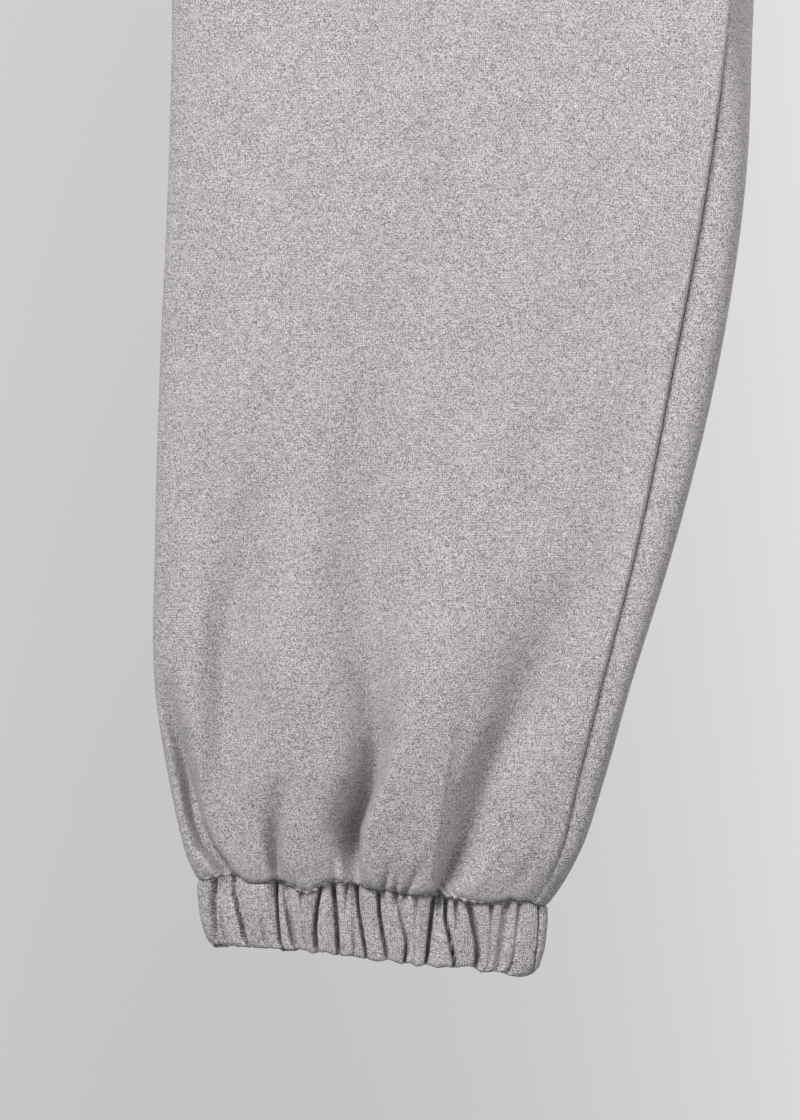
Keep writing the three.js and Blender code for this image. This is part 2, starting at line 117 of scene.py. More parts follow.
LEG_SECTIONS: tuple[SectionRow, ...] = (
    SectionRow(-45, 172, 0, 16, 18, 0, 0),
    SectionRow(-58, 185, 0, 22, 26, 0, 0),
    SectionRow(-80, 206, 0, 28, 34, 0, 0),
    SectionRow(-130, 238, 0, 33, 40, 0, 0),
    SectionRow(-200, 259, 0, 35, 42, 0, 0),
    SectionRow(-310, 272, 9, 36, 40, 0, 0),
    SectionRow(-400, 272, 18, 34, 37, 1, 0.4),
    SectionRow(-500, 268, 26, 32, 33, 5, 2),
    SectionRow(-627, 264.8, 32, 30, 30, 10.4, 2.6),
    SectionRow(-699, 266.4, 35.6, 30, 29, 16, 2.9),
    SectionRow(-771, 269.6, 46.4, 30, 28, 18.5, 2.6),
    SectionRow(-843, 271.6, 64, 32, 29, 15.5, 2.2),
    SectionRow(-903, 271.6, 82.8, 34, 31, 12, 1.8),
    SectionRow(-939, 266.6, 93.4, 30.3, 29.5, 10.5, 1.5),
    SectionRow(-963, 262, 101.7, 25.2, 24.8, 8, 1.2),
    SectionRow(-976, 258.6, 108.8, 21.3, 20.8, 6.5, 0.7),
    SectionRow(CUFF_SEAM_Z, 254.8, 114.8, 18.5, 18, 5.6, 0),
)
# How square a closed section's inner end is, and the share of the depth that closing it takes
INNER_POWER = {Face.FRONT: 7.0, Face.BACK: 2.6}
CLOSING_LOSS = {Face.FRONT: 0.045, Face.BACK: 0.145}

# Step between the rows of points at heights down a leg panel, in mm
ROW_STEPS: tuple[tuple[float, float], ...] = (
    (-45, 0.5), (-52, 3), (-100, 6), (-230, 12), (-296, 4), (-310, 1.2), (-330, 4), (-400, 14),
    (-600, 22), (-800, 12), (-900, 4), (-960, 1.5), (-980, 0.9), (-984.6, 0.35),
)


def smoothstep(value: np.ndarray, low: float, high: float) -> np.ndarray:
    """Rise smoothly from 0 at low to 1 at high."""
    share = np.clip((value - low) / (high - low), 0, 1)
    return share * share * (3 - 2 * share)


def mix(start: np.ndarray, end: np.ndarray, share: np.ndarray) -> np.ndarray:
    """Blend from start to end."""
    return start + (end - start) * share


def unit(vectors: np.ndarray) -> np.ndarray:
    """Give vectors along the last axis the length 1."""
    return vectors / np.maximum(np.linalg.norm(vectors, axis=-1, keepdims=True), 1e-9)


def curve_through(keys: np.ndarray, values: np.ndarray, at: np.ndarray) -> np.ndarray:
    """Follow a smooth curve through a table.

    Args:
        keys: rising positions of the table's rows.
        values: one value a row.
        at: positions to read, held inside the table.

    Returns:
        The curve's values at the positions.
    """
    keys = np.asarray(keys, float)
    values = np.asarray(values, float)
    slopes = np.gradient(values, keys)
    at = np.clip(at, keys[0], keys[-1])
    step = np.clip(np.searchsorted(keys, at, side="right") - 1, 0, len(keys) - 2)
    span = keys[step + 1] - keys[step]
    s = (at - keys[step]) / span
    start = (2 * s**3 - 3 * s**2 + 1) * values[step] + (s**3 - 2 * s**2 + s) * span * slopes[step]
    end = (3 * s**2 - 2 * s**3) * values[step + 1] + (s**3 - s**2) * span * slopes[step + 1]
    return start + end


def graded(total: float, edge_step: float, middle_step: float, growth: float = 1.25) -> np.ndarray:
    """Shares of a length whose steps start fine at both ends and grow towards the middle.

    Args:
        total: the length, in mm.
        edge_step: the first step, in mm.
        middle_step: the widest step, in mm.
        growth: ratio from one step to the next.

    Returns:
        Rising shares from 0 to 1.
    """
    steps = []
    reached = 0.0
    step = edge_step
    while reached < total / 2:
        steps.append(step)
        reached += step
        step = min(step * growth, middle_step)
    half = np.concatenate(([0.0], np.cumsum(steps))) / (2 * reached)
    return np.concatenate((half, 1 - half[-2::-1]))


def steps_along(line: np.ndarray) -> np.ndarray:
    """Distances from each point of a line to the next."""
    return np.linalg.norm(np.diff(line, axis=0), axis=1)


def lengths_along(line: np.ndarray) -> np.ndarray:
    """Distances of a line's points from its start, measured along it."""
    return np.concatenate(([0.0], np.cumsum(steps_along(line))))


def read_line(line: np.ndarray, lengths: np.ndarray, at: np.ndarray) -> np.ndarray:
    """Points of a line at distances from its start, where lengths holds its own points' distances."""
    return np.stack([np.interp(at, lengths, column) for column in line.T], axis=1)


def spread(line: np.ndarray, shares: np.ndarray) -> np.ndarray:
    """Points at given shares of a line's length."""
    lengths = lengths_along(line)
    return read_line(line, lengths, shares * lengths[-1])


def rows_from_steps(top: float, bottom: float) -> np.ndarray:
    """Space a panel's rows as ROW_STEPS asks.

    Args:
        top: height of the first row, in mm.
        bottom: height of the last row, in mm.

    Returns:
        Heights of the rows, in mm.
    """
    heights, steps = np.array(ROW_STEPS).T
    fine = np.linspace(top, bottom, 4000)
    density = 1 / np.interp(-fine, -heights, steps)
    gained = (density[1:] + density[:-1]) / 2 * np.abs(np.diff(fine))
    count = np.concatenate(([0.0], np.cumsum(gained)))
    return np.interp(np.linspace(0, count[-1], max(2, round(count[-1]) + 1)), count, fine)


@dataclass(frozen=True)
class Crease:
    """A trough that runs down a panel to a seam.

    Attributes:
        up: distances from the seam, rising, in mm.
        place: places across the panel, 0 at the outer edge and 1 at the inner edge.
        depth: depths, in mm; below 0 it is a ridge.
        outward: half widths on the side of the outer edge, in mm.
        inward: half widths on the side of the inner edge, in mm.
    """

    up: tuple[float, ...]
    place: tuple[float, ...]
    depth: tuple[float, ...]
    outward: tuple[float, ...]
    inward: tuple[float, ...]

    def depth_at(self, up: np.ndarray, across: np.ndarray, width: np.ndarray) -> np.ndarray:
        """How deep the crease is.

        Args:
            up: distances from the seam, in mm.
            across: places across the panel, from 0 to 1.
            width: the panel's width at each row, in mm.

        Returns:
            Depths in mm, of the arguments' joint shape.
        """
        read = [np.interp(up, self.up, column) for column in (self.place, self.outward, self.inward)]
        depth = curve_through(self.up, self.depth, up) * (up < self.up[-1])
        offset = (across - read[0]) * width
        half = np.where(offset < 0, read[1], read[2])
        return depth * np.exp(-((np.abs(offset) / half) ** 2))


def soft_crease(hem: float, top: float, rise: float, depth: float, widths: tuple[float, float],
                lean: float = 1.0) -> Crease:
    """A plain crease that fades upwards.

    Args:
        hem: its place at the seam, from 0 to 1.
        top: its place at its top.
        rise: its length, in mm.
        depth: its greatest depth, in mm.
        widths: its half widths at the seam and at its top, in mm.
        lean: the inward half width over the outward one.

    Returns:
        The crease.
    """
    shares = np.array((0, 0.12, 0.35, 0.65, 1.0))
    fade = np.array((0.55, 1.0, 0.7, 0.3, 0.0))
    half = mix(widths[0], widths[1], shares)
    return Crease(tuple(rise * shares), tuple(mix(hem, top, shares)), tuple(depth * fade),
                  tuple(half), tuple(half * lean))


# The right front's creases, from the outer edge to the inner one
SHOWN_CREASES: tuple[Crease, ...] = (
    Crease((0, 5, 14, 24, 37, 56, 76, 90), (0.093, 0.091, 0.067, 0.054, 0.05, 0.043, 0.025, 0.02),
           (5, 11.5, 16, 16.5, 15, 11.5, 6.5, 0), (4, 4, 4.2, 4.2, 4, 3.6, 3, 3),
           (1.8, 1.8, 2.0, 2.2, 2.6, 3.2, 4, 4)),
    Crease((0, 38, 65, 94, 130, 185), (0.14, 0.135, 0.148, 0.155, 0.17, 0.19),
           (1.2, 5.5, 10.0, 11.0, 7.5, 0), (9, 8.5, 8, 9, 11, 14), (8, 9, 12, 14, 16, 18)),
    Crease((0, 4, 11, 23, 35, 46), (0.242, 0.244, 0.246, 0.25, 0.254, 0.26),
           (4.6, 8.2, 9.4, 7.0, 3.0, 0), (3.0, 3.4, 4.2, 6, 8, 9), (1.1, 1.1, 1.2, 1.8, 3.5, 6)),
    Crease((0, 7, 14, 24, 34, 48, 61, 77, 117, 157, 197, 250),
           (0.462, 0.458, 0.45, 0.447, 0.462, 0.482, 0.486, 0.462, 0.43, 0.396, 0.357, 0.33),
           (4.5, 13.0, 18.5, 20.0, 19.5, 17.5, 15.5, 13.4, 10.4, 7.0, 3.4, 0),
           (5, 6, 7, 8.5, 9, 9, 10, 11, 14, 16, 18, 20),
           (1.1, 1.1, 1.2, 1.4, 1.7, 2.4, 4.5, 8, 14, 18, 20, 22)),
    Crease((0, 6, 15, 24, 40, 55, 72, 92, 125), (0.686, 0.686, 0.69, 0.7, 0.71, 0.732, 0.765, 0.772, 0.77),
           (3.6, 9.5, 12.5, 12.4, 12.0, 10.8, 9.0, 6.0, 0), (1.5, 1.9, 3.0, 4.4, 5.4, 6.5, 9, 12, 15),
           (5, 7, 9, 10, 11, 12, 13, 14, 15)),
    Crease((0, 6, 15, 30, 50, 68, 95), (0.66, 0.658, 0.64, 0.637, 0.634, 0.633, 0.63),
           (-0.2, -0.8, -1.6, -2.2, -2.2, -1.4, 0), (4, 5, 7, 8, 9, 10, 12), (1.4, 1.5, 1.7, 2.0, 2.6, 3.6, 5)),
    Crease((0, 8, 25, 50, 80, 120), (0.58, 0.575, 0.57, 0.57, 0.575, 0.58), (0, -0.2, -0.5, -0.7, -0.5, 0),
           (7, 8, 10, 12, 13, 14), (7, 8, 10, 11, 12, 14)),
    Crease((0, 8, 20, 40, 80, 130), (0.82, 0.815, 0.81, 0.81, 0.81, 0.81), (0, 1.4, 2.6, 3.4, 2.8, 0),
           (5, 5.5, 6, 8, 10, 12), (8, 8, 9, 10, 12, 14)),
    Crease((0, 4, 10, 22, 40), (0.394, 0.394, 0.39, 0.385, 0.38), (2.2, 2.6, 1.6, 0.7, 0),
           (1.6, 2, 3, 5, 7), (1.4, 1.6, 2.4, 4, 6)),
    Crease((0, 3, 8, 12, 16), (0.534, 0.535, 0.537, 0.538, 0.54), (2.4, 2.4, 1.8, 0.8, 0),
           (1.0, 1.1, 1.4, 2, 3), (1.0, 1.1, 1.4, 2, 3)),
    Crease((0, 3, 7, 10), (0.566, 0.566, 0.563, 0.56), (2.2, 1.9, 0.8, 0), (1, 1.1, 1.5, 2), (1, 1.1, 1.5, 2)),
    Crease((0, 3, 7, 12, 20), (0.594, 0.6, 0.608, 0.615, 0.62), (2.4, 2.4, 1.8, 0.8, 0),
           (1.2, 1.4, 2, 3, 5), (1.2, 1.4, 2, 3, 5)),
    Crease((0, 3, 8, 12), (0.69, 0.682, 0.665, 0.65), (2.2, 2.0, 0.9, 0), (1.2, 1.3, 1.6, 2), (1, 1.2, 1.6, 2)),
    Crease((0, 9, 30, 60, 100), (0.86, 0.885, 0.92, 0.93, 0.92), (0.4, 1.0, 0.9, 0.5, 0),
           (6, 6, 7, 8, 10), (6, 6, 7, 8, 10)),
    Crease((60, 120, 190, 260, 340, 400), (0.36, 0.37, 0.36, 0.33, 0.3, 0.28),
           (-0.3, -1.0, -1.1, 0.6, 1.2, 0.9), (16, 18, 18, 20, 22, 24), (16, 18, 18, 20, 22, 24)),
    Crease((40, 100, 180, 280, 380), (0.56, 0.6, 0.62, 0.6, 0.58), (-0.6, -1.2, -0.8, -1.2, -1.0),
           (18, 20, 24, 26, 28), (18, 20, 24, 26, 28)),
    Crease((120, 200, 280, 340, 400), (0.8, 0.79, 0.77, 0.76, 0.75), (0, 0.9, 1.2, 0.8, 0.4),
           (16, 20, 24, 26, 28), (16, 18, 20, 22, 24)),
)
# Soft folds that hang from the crotch and the hips, the same idea on every panel
HANGING_FOLDS: tuple[Crease, ...] = (
    Crease((520, 580, 630, 664, 690), (0.66, 0.76, 0.87, 0.95, 1.0), (0, 1.8, 3.0, 2.4, 0),
           (9, 9, 8, 6, 5), (14, 13, 11, 8, 6)),
    Crease((560, 620, 690, 740), (0.9, 0.86, 0.8, 0.76), (0, 1.6, 1.8, 0), (8, 10, 12, 12), (12, 14, 16, 16)),
    Crease((470, 560, 680, 790, 860), (0.3, 0.26, 0.22, 0.2, 0.2), (0, 1.4, 2.0, 1.2, 0),
           (12, 14, 16, 14, 12), (18, 20, 22, 20, 16)),
)
CREASES: dict[tuple[Side, Face], tuple[Crease, ...]] = {
    (Side.RIGHT, Face.FRONT): SHOWN_CREASES + HANGING_FOLDS,
    (Side.LEFT, Face.FRONT): HANGING_FOLDS[:2] + (
        soft_crease(0.1, 0.06, 58, 3.0, (6, 7), 0.6),
        soft_crease(0.27, 0.3, 96, 3.6, (7, 15), 0.5),
        soft_crease(0.42, 0.43, 26, 2.0, (4, 6)),
        soft_crease(0.56, 0.5, 168, 5.0, (8, 19), 0.55),
        soft_crease(0.71, 0.73, 38, 2.4, (3, 7), 1.8),
        soft_crease(0.83, 0.84, 82, 3.4, (4, 11), 2.0),
    ),
    (Side.RIGHT, Face.BACK): HANGING_FOLDS[1:] + (
        soft_crease(0.14, 0.1, 62, 3.0, (6, 9), 0.6),
        soft_crease(0.31, 0.34, 130, 4.6, (8, 18), 0.5),
        soft_crease(0.47, 0.46, 34, 2.2, (5, 8)),
        soft_crease(0.62, 0.58, 176, 4.8, (4, 18), 1.9),
        soft_crease(0.81, 0.83, 70, 3.2, (6, 11), 0.6),
    ),
    (Side.LEFT, Face.BACK): HANGING_FOLDS[::2] + (
        soft_crease(0.18, 0.21, 84, 3.6, (6, 12), 0.6),
        soft_crease(0.36, 0.35, 40, 2.4, (5, 9), 1.7),
        soft_crease(0.52, 0.56, 150, 5.0, (8, 19), 0.5),
        soft_crease(0.68, 0.66, 48, 2.6, (5, 9)),
        soft_crease(0.85, 0.8, 104, 3.4, (4, 13), 2.0),
    ),
}


@dataclass(frozen=True)
class LegForm:
    """The free-hanging form of a leg, drawn for the right leg.

    Attributes:
        waist_gathers: how many gathers a panel has under the waistband.
        waist_gather_drop: how far down they reach, in mm.
        waist_gather_depth: their depth, in mm.
        lip: how far the front swells before it rolls into the inner leg seam, in mm.
        lip_width: half width of that swelling, in mm.
        strip_heights: heights below the waist of the rows of strip_roundness, in mm.
        strip_roundness: how square the strip inside the inner leg seam drops back.
    """

    waist_gathers: int = 7
    waist_gather_drop: float = 60
    waist_gather_depth: float = 2.4
    lip: float = 0.7
    lip_width: float = 3.5
    strip_heights: tuple[float, ...] = (500, 632, 650, 675, 720, 790, 900, 985)
    strip_roundness: tuple[float, ...] = (1.05, 1.1, 1.5, 2.4, 3.5, 4.4, 4.6, 3.2)

    def read(self, key: str, z: np.ndarray) -> np.ndarray:
        """Read one column of the section table at heights."""
        heights = [-row.z for row in LEG_SECTIONS]
        return curve_through(heights, [getattr(row, key) for row in LEG_SECTIONS], -z)

    def arch_share(self, z: np.ndarray) -> np.ndarray:
        """How far a height is past the arch under the crotch, from 0 to 1."""
        return np.clip((CROTCH_Z - z) / ARCH_HEIGHT, 0, 1)

    def outer(self, z: np.ndarray) -> np.ndarray:
        """Distance of the outer edge from the centre plane."""
        return self.read("outer", z)

    def inner(self, z: np.ndarray) -> np.ndarray:
        """Distance of the inner edge from the centre plane."""
        return np.maximum(self.read("inner", z), 0) * np.sqrt(1 - (1 - self.arch_share(z)) ** 2)

    def x_at(self, z: np.ndarray, t: np.ndarray) -> np.ndarray:
        """X of places across a section, 0 at the outer edge and 1 at the inner edge."""
        return -mix(self.outer(z), self.inner(z), t)

    def seam_forward(self, z: np.ndarray) -> np.ndarray:
        """How far the inner leg seam has come forward of the inner edge, from 0 to 1."""
        return np.clip((CROTCH_Z - z) / SEAM_FORWARD_DROP, 0, 1)

    def strip(self, z: np.ndarray) -> np.ndarray:
        """Width of back panel that shows between the inner leg seam and the inner edge."""
        return np.maximum(self.read("strip", z), 0) * self.seam_forward(z) ** INNER_POWER[Face.FRONT]

    def closing(self, z: np.ndarray, face: Face) -> np.ndarray:
        """How closed a section's inner end is, 0 where the two legs are one body."""
        rise = np.clip((RISE_CURVE_TOP_Z - z) / (RISE_CURVE_TOP_Z - CROTCH_Z), 0, 1)
        return 1 - (1 - rise**2) ** (INNER_POWER[face] / 2)

    def lens(self, z: np.ndarray, t: np.ndarray, face: Face) -> np.ndarray:
        """Outline of a plain section.

        Args:
            z: heights, in mm.
            t: places across the section, from 0 to 1.
            face: the front or the back.

        Returns:
            Shares of the half depth.
        """
        power = INNER_POWER[face]
        close = self.closing(z, face)
        outer_end = (1 - (1 - t) ** OUTER_POWER) ** (1 / OUTER_POWER)
        inner_end = np.maximum(0, 1 - close * t**power) ** (1 / power)
        return outer_end * inner_end / (1 - CLOSING_LOSS[face] * close)

    def seam_place(self, z: np.ndarray) -> np.ndarray:
        """Where the inner leg seam lies across a section, from 0 to 1."""
        return 1 - self.strip(z) / (self.outer(z) - self.inner(z))

    def boxed(self, z: np.ndarray, t: np.ndarray) -> np.ndarray:
        """Half depth of the front where it lies flat up to the inner leg seam and then drops.

        Args:
            z: heights, in mm.
            t: places across the section, from 0 to 1.

        Returns:
            Half depths in mm.
        """
        seam = self.seam_place(z)
        past = (t - seam) * (self.outer(z) - self.inner(z))
        outer_end = (1 - (1 - np.minimum(t, seam)) ** OUTER_POWER) ** (1 / OUTER_POWER)
        flat = self.read("front", z) * outer_end
        lip = self.lip * np.exp(-(((past + self.lip_width) / self.lip_width) ** 2))
        roll = np.maximum(self.read("roll", z), 0) * smoothstep(past, -SEAM_ROLL_WIDTH, 0)
        share = np.clip((t - seam) / np.maximum(1 - seam, 1e-6), 0, 1)
        roundness = np.interp(-z, self.strip_heights, self.strip_roundness)
        return (flat + lip - roll) * (1 - share**roundness) ** (1 / roundness)

    def half_depth(self, z: np.ndarray, t: np.ndarray, face: Face) -> np.ndarray:
        """Half depth of a face before its creases.

        Args:
            z: heights, in mm.
            t: places across the section, from 0 to 1.
            face: the front or the back.

        Returns:
            Half depths in mm.
        """
        plain = self.read(face.name.lower(), z) * self.lens(z, t, face)
        if face is Face.BACK:
            return plain
        share = self.seam_forward(z) * smoothstep(z, CUFF_SEAM_Z, CUFF_SEAM_Z + BOX_END_HEIGHT)
        return mix(plain, self.boxed(z, t), share)

    def slope(self, z: np.ndarray) -> np.ndarray:
        """How much the rows lean near the cuff."""
        return CUFF_SEAM_SLOPE * np.clip((LEAN_START_Z - z) / (LEAN_START_Z - CUFF_SEAM_Z), 0, 1)

    def seam_rise(self, t: np.ndarray, front: np.ndarray, side: Side) -> np.ndarray:
        """How far the cuff's seam rises above its straight line.

        Args:
            t: places across the leg, from 0 to 1.
            front: True where a point is on the front.
            side: the leg.

        Returns:
            Rises in mm, read backwards and lower on the left leg's front.
        """
        share, place = (1.0, t) if side is Side.RIGHT else (LEFT_RISE_SHARE, 1 - t)
        shown = share * curve_through(SEAM_RISE_PLACES, SEAM_RISE_HEIGHTS, place)
        plain = 1.2 * np.sin(TURN * (3.3 * t + 0.1)) + 0.8 * np.sin(TURN * (7.1 * t + 0.4))
        return np.where(front, shown, plain)

    def waist_gather(self, z: np.ndarray, t: np.ndarray) -> np.ndarray:
        """Short uneven gathers under the waistband.

        Args:
            z: heights, in mm.
            t: places across the panel, from 0 to 1.

        Returns:
            Depths in mm.
        """
        down = np.clip((WAIST_SEAM_Z - z) / self.waist_gather_drop, 0, 1)
        wander = 0.35 * np.sin(TURN * 1.7 * t)
        wave = 0.5 - 0.5 * np.cos(TURN * (self.waist_gathers * t + wander))
        return self.waist_gather_depth * (1 - down) ** 1.7 * smoothstep(down, 0, 0.05) * wave


# Where the cuff's seam rises above its straight line on the shown front, 0 at the outer edge
SEAM_RISE_PLACES = (0, 0.02, 0.055, 0.08, 0.115, 0.14, 0.165, 0.2, 0.235, 0.25, 0.27, 0.3, 0.33, 0.345,
                    0.36, 0.39, 0.42, 0.455, 0.475, 0.515, 0.56, 0.6, 0.66, 0.695, 0.73, 0.77, 0.82,
                    0.87, 0.89, 0.915, 0.945, 0.965, 1.0)
SEAM_RISE_HEIGHTS = (1.2, 1.4, 3.3, 3.9, 4.6, 2.5, 1.9, 2.7, 3.9, 2.9, 2.0, 0.0, 0.3, 2.2,
                     3.6, 4.9, 5.2, 5.2, 3.8, 3.3, 2.6, 1.8, 2.4, 2.7, 2.2, 1.0, 0.5,
                     1.9, 2.9, 2.3, 2.5, 1.4, 0.7)


def add_piece(name: str, points: np.ndarray, faces: list, finish: bpy.types.Material) -> bpy.types.Object:
    """Make a smooth-shaded object that rides on the garment.

    Args:
        name: the object's name.
        points: its points, in mm.
        faces: their indices, face by face.
        finish: its material.

    Returns:
        The object.
    """
    mesh = bpy.data.meshes.new(name)
    mesh.from_pydata((points * MM).tolist(), [], faces)
    mesh.shade_smooth()
    mesh.materials.append(finish)
    piece = bpy.data.objects.new(name, mesh)
    bpy.context.collection.objects.link(piece)
    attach(piece, ROOT_BODY)
    return piece


@dataclass(frozen=True)
class ClothGrid:
    """A grid of points with their places on the flat cloth.

    Attributes:
        name: the object's name.
        points: points in mm, rows x columns x 3.
        cloth: the points' places on the flat cloth in mm, rows x columns x 2.
        seed: a number that shifts the knit's pattern on this piece.
    """

    name: str
    points: np.ndarray
    cloth: np.ndarray
    seed: float

    def numbers(self) -> np.ndarray:
        """The points' numbers, laid out as the grid."""
        rows, columns = self.points.shape[:2]
        return np.arange(rows * columns).reshape(rows, columns)

    def quads(self) -> np.ndarray:
        """The surface's faces."""
        raise NotImplementedError

    def solid_points(self, flip: bool) -> np.ndarray:
        """All points of the surface, in mm; flip is True when the grid faces inwards."""
        return self.points.reshape(-1, 3)

    def build(self, flip: bool, finish: bpy.types.Material, slot: str) -> bpy.types.Object:
        """Make the object.

        Args:
            flip: True when the grid faces inwards.
            finish: its material.
            slot: not used.

        Returns:
            The object, smooth shaded and riding on the garment.
        """
        points = self.solid_points(flip)
        faces = self.quads()[:, ::-1] if flip else self.quads()
        piece = add_piece(self.name, points, faces.tolist(), finish)
        flat = self.cloth.reshape(-1, 2)
        places = np.concatenate([flat] * (len(points) // len(flat))) * MM
        layer = piece.data.attributes.new(PLACE_ATTRIBUTE, "FLOAT_VECTOR", "POINT")
        layer.data.foreach_set("vector", np.column_stack((places, np.full(len(places), self.seed))).ravel())
        return piece


@dataclass(frozen=True)
class PanelWall(ClothGrid):
    """A closed wall of cloth over a grid of outer points, which faces out when its rows run down.

    Attributes:
        wall: the wall's thickness, in mm.
    """

    wall: float

    def solid_points(self, flip: bool) -> np.ndarray:
        """Points of the outside and then of the inside, in mm; flip is True when the grid faces inwards."""
        outward = unit(np.cross(np.gradient(self.points, axis=0), np.gradient(self.points, axis=1)))
        inside = self.points + outward * (self.wall if flip else -self.wall)
        return np.concatenate((self.points.reshape(-1, 3), inside.reshape(-1, 3)))

    def quads(self) -> np.ndarray:
        """Faces of the outside, the inside and the rims."""
        at = self.numbers()
        outside = np.stack((at[:-1, :-1], at[1:, :-1], at[1:, 1:], at[:-1, 1:]), axis=-1).reshape(-1, 4)
        rim = np.concatenate((at[0, :-1], at[:-1, -1], at[-1, :0:-1], at[:0:-1, 0]))
        after = np.roll(rim, -1)
        edge = np.stack((rim, after, after + at.size, rim + at.size), axis=-1)
        return np.concatenate((outside, outside[:, ::-1] + at.size, edge))


class BandWall(ClothGrid):
    """A folded elastic band: rows of points round a girth, closed both ways."""

    def quads(self) -> np.ndarray:
        """Faces of the whole tube."""
        at = self.numbers()
        below = np.roll(at, -1, axis=0)
        corners = (at, below, np.roll(below, -1, axis=1), np.roll(at, -1, axis=1))
        return np.stack(corners, axis=-1).reshape(-1, 4)


# Slow waves of hanging cloth: height in mm, waves across, length down in mm, share of the panel's turn
SLOW_WAVES = ((0.7, 2.1, -640, 1.0), (0.45, 3.7, 410, 2.3), (0.3, 6.3, -290, 3.1))
WAVE_TURNS = {Side.RIGHT: 0.0, Side.LEFT: 1.7, Face.FRONT: 0.0, Face.BACK: 0.9}


@dataclass(frozen=True)
class LegFolds:
    """Creases, gathers, waves and puckers of one leg's cloth.

    Attributes:
        side: the leg.
        pucker_pitch: mean distance between the puckers at the cuff's seam, in mm.
        pucker_depth: their greatest depth, in mm.
        pucker_turn: what shifts their order.
    """

    side: Side
    pucker_pitch: float = 3.6
    pucker_depth: float = 2.1
    pucker_turn: float = 0.6

    def depth(self, form: LegForm, z: np.ndarray, t: np.ndarray, face: Face) -> np.ndarray:
        """Depth of all folds at places on one face.

        Args:
            form: the leg's form.
            z: heights, in mm.
            t: places across the face, from 0 to 1.
            face: the front or the back.

        Returns:
            Depths in mm.
        """
        width = form.outer(z) - form.inner(z)
        up = z - CUFF_SEAM_Z
        creases = sum(crease.depth_at(up, t, width) for crease in CREASES[self.side, face])
        return creases + form.waist_gather(z, t) + self.slow_waves(z, t, face) + self.puckers(up, t * width)

    def slow_waves(self, z: np.ndarray, t: np.ndarray, face: Face) -> np.ndarray:
        """Soft, wide waves of hanging cloth.

        Args:
            z: heights, in mm.
            t: places across the face, from 0 to 1.
            face: the front or the back.

        Returns:
            Depths in mm, none near the waist and at the cuff.
        """
        turn = WAVE_TURNS[self.side] + WAVE_TURNS[face]
        hold = smoothstep(-z, 60, 200) * smoothstep(z, CUFF_SEAM_Z, CUFF_SEAM_Z + 90)
        return hold * sum(height * np.sin(TURN * (across * t + z / down) + share * turn)
                          for height, across, down, share in SLOW_WAVES)

    def puckers(self, up: np.ndarray, along: np.ndarray) -> np.ndarray:
        """Small puckers where the cuff's seam gathers the panel.

        Three slow waves along the seam make their order, strength and reach uneven.

        Args:
            up: distances from the seam, in mm.
            along: distances along the seam, in mm.

        Returns:
            Depths in mm.
        """
        turn = self.pucker_turn
        wander = 1.6 * np.sin(along / 6.1 + turn) + 0.9 * np.sin(along / 2.7 + 2 * turn)
        strength = 0.55 + 0.45 * np.sin(along / 8.3 + 3 * turn)
        reach = 2.6 + 1.8 * np.sin(along / 5.2 + turn)
        wave = 0.5 - 0.5 * np.cos(TURN * along / self.pucker_pitch + wander)
        return self.pucker_depth * strength * wave * np.exp(-up / reach) * smoothstep(up, 0, 0.8)


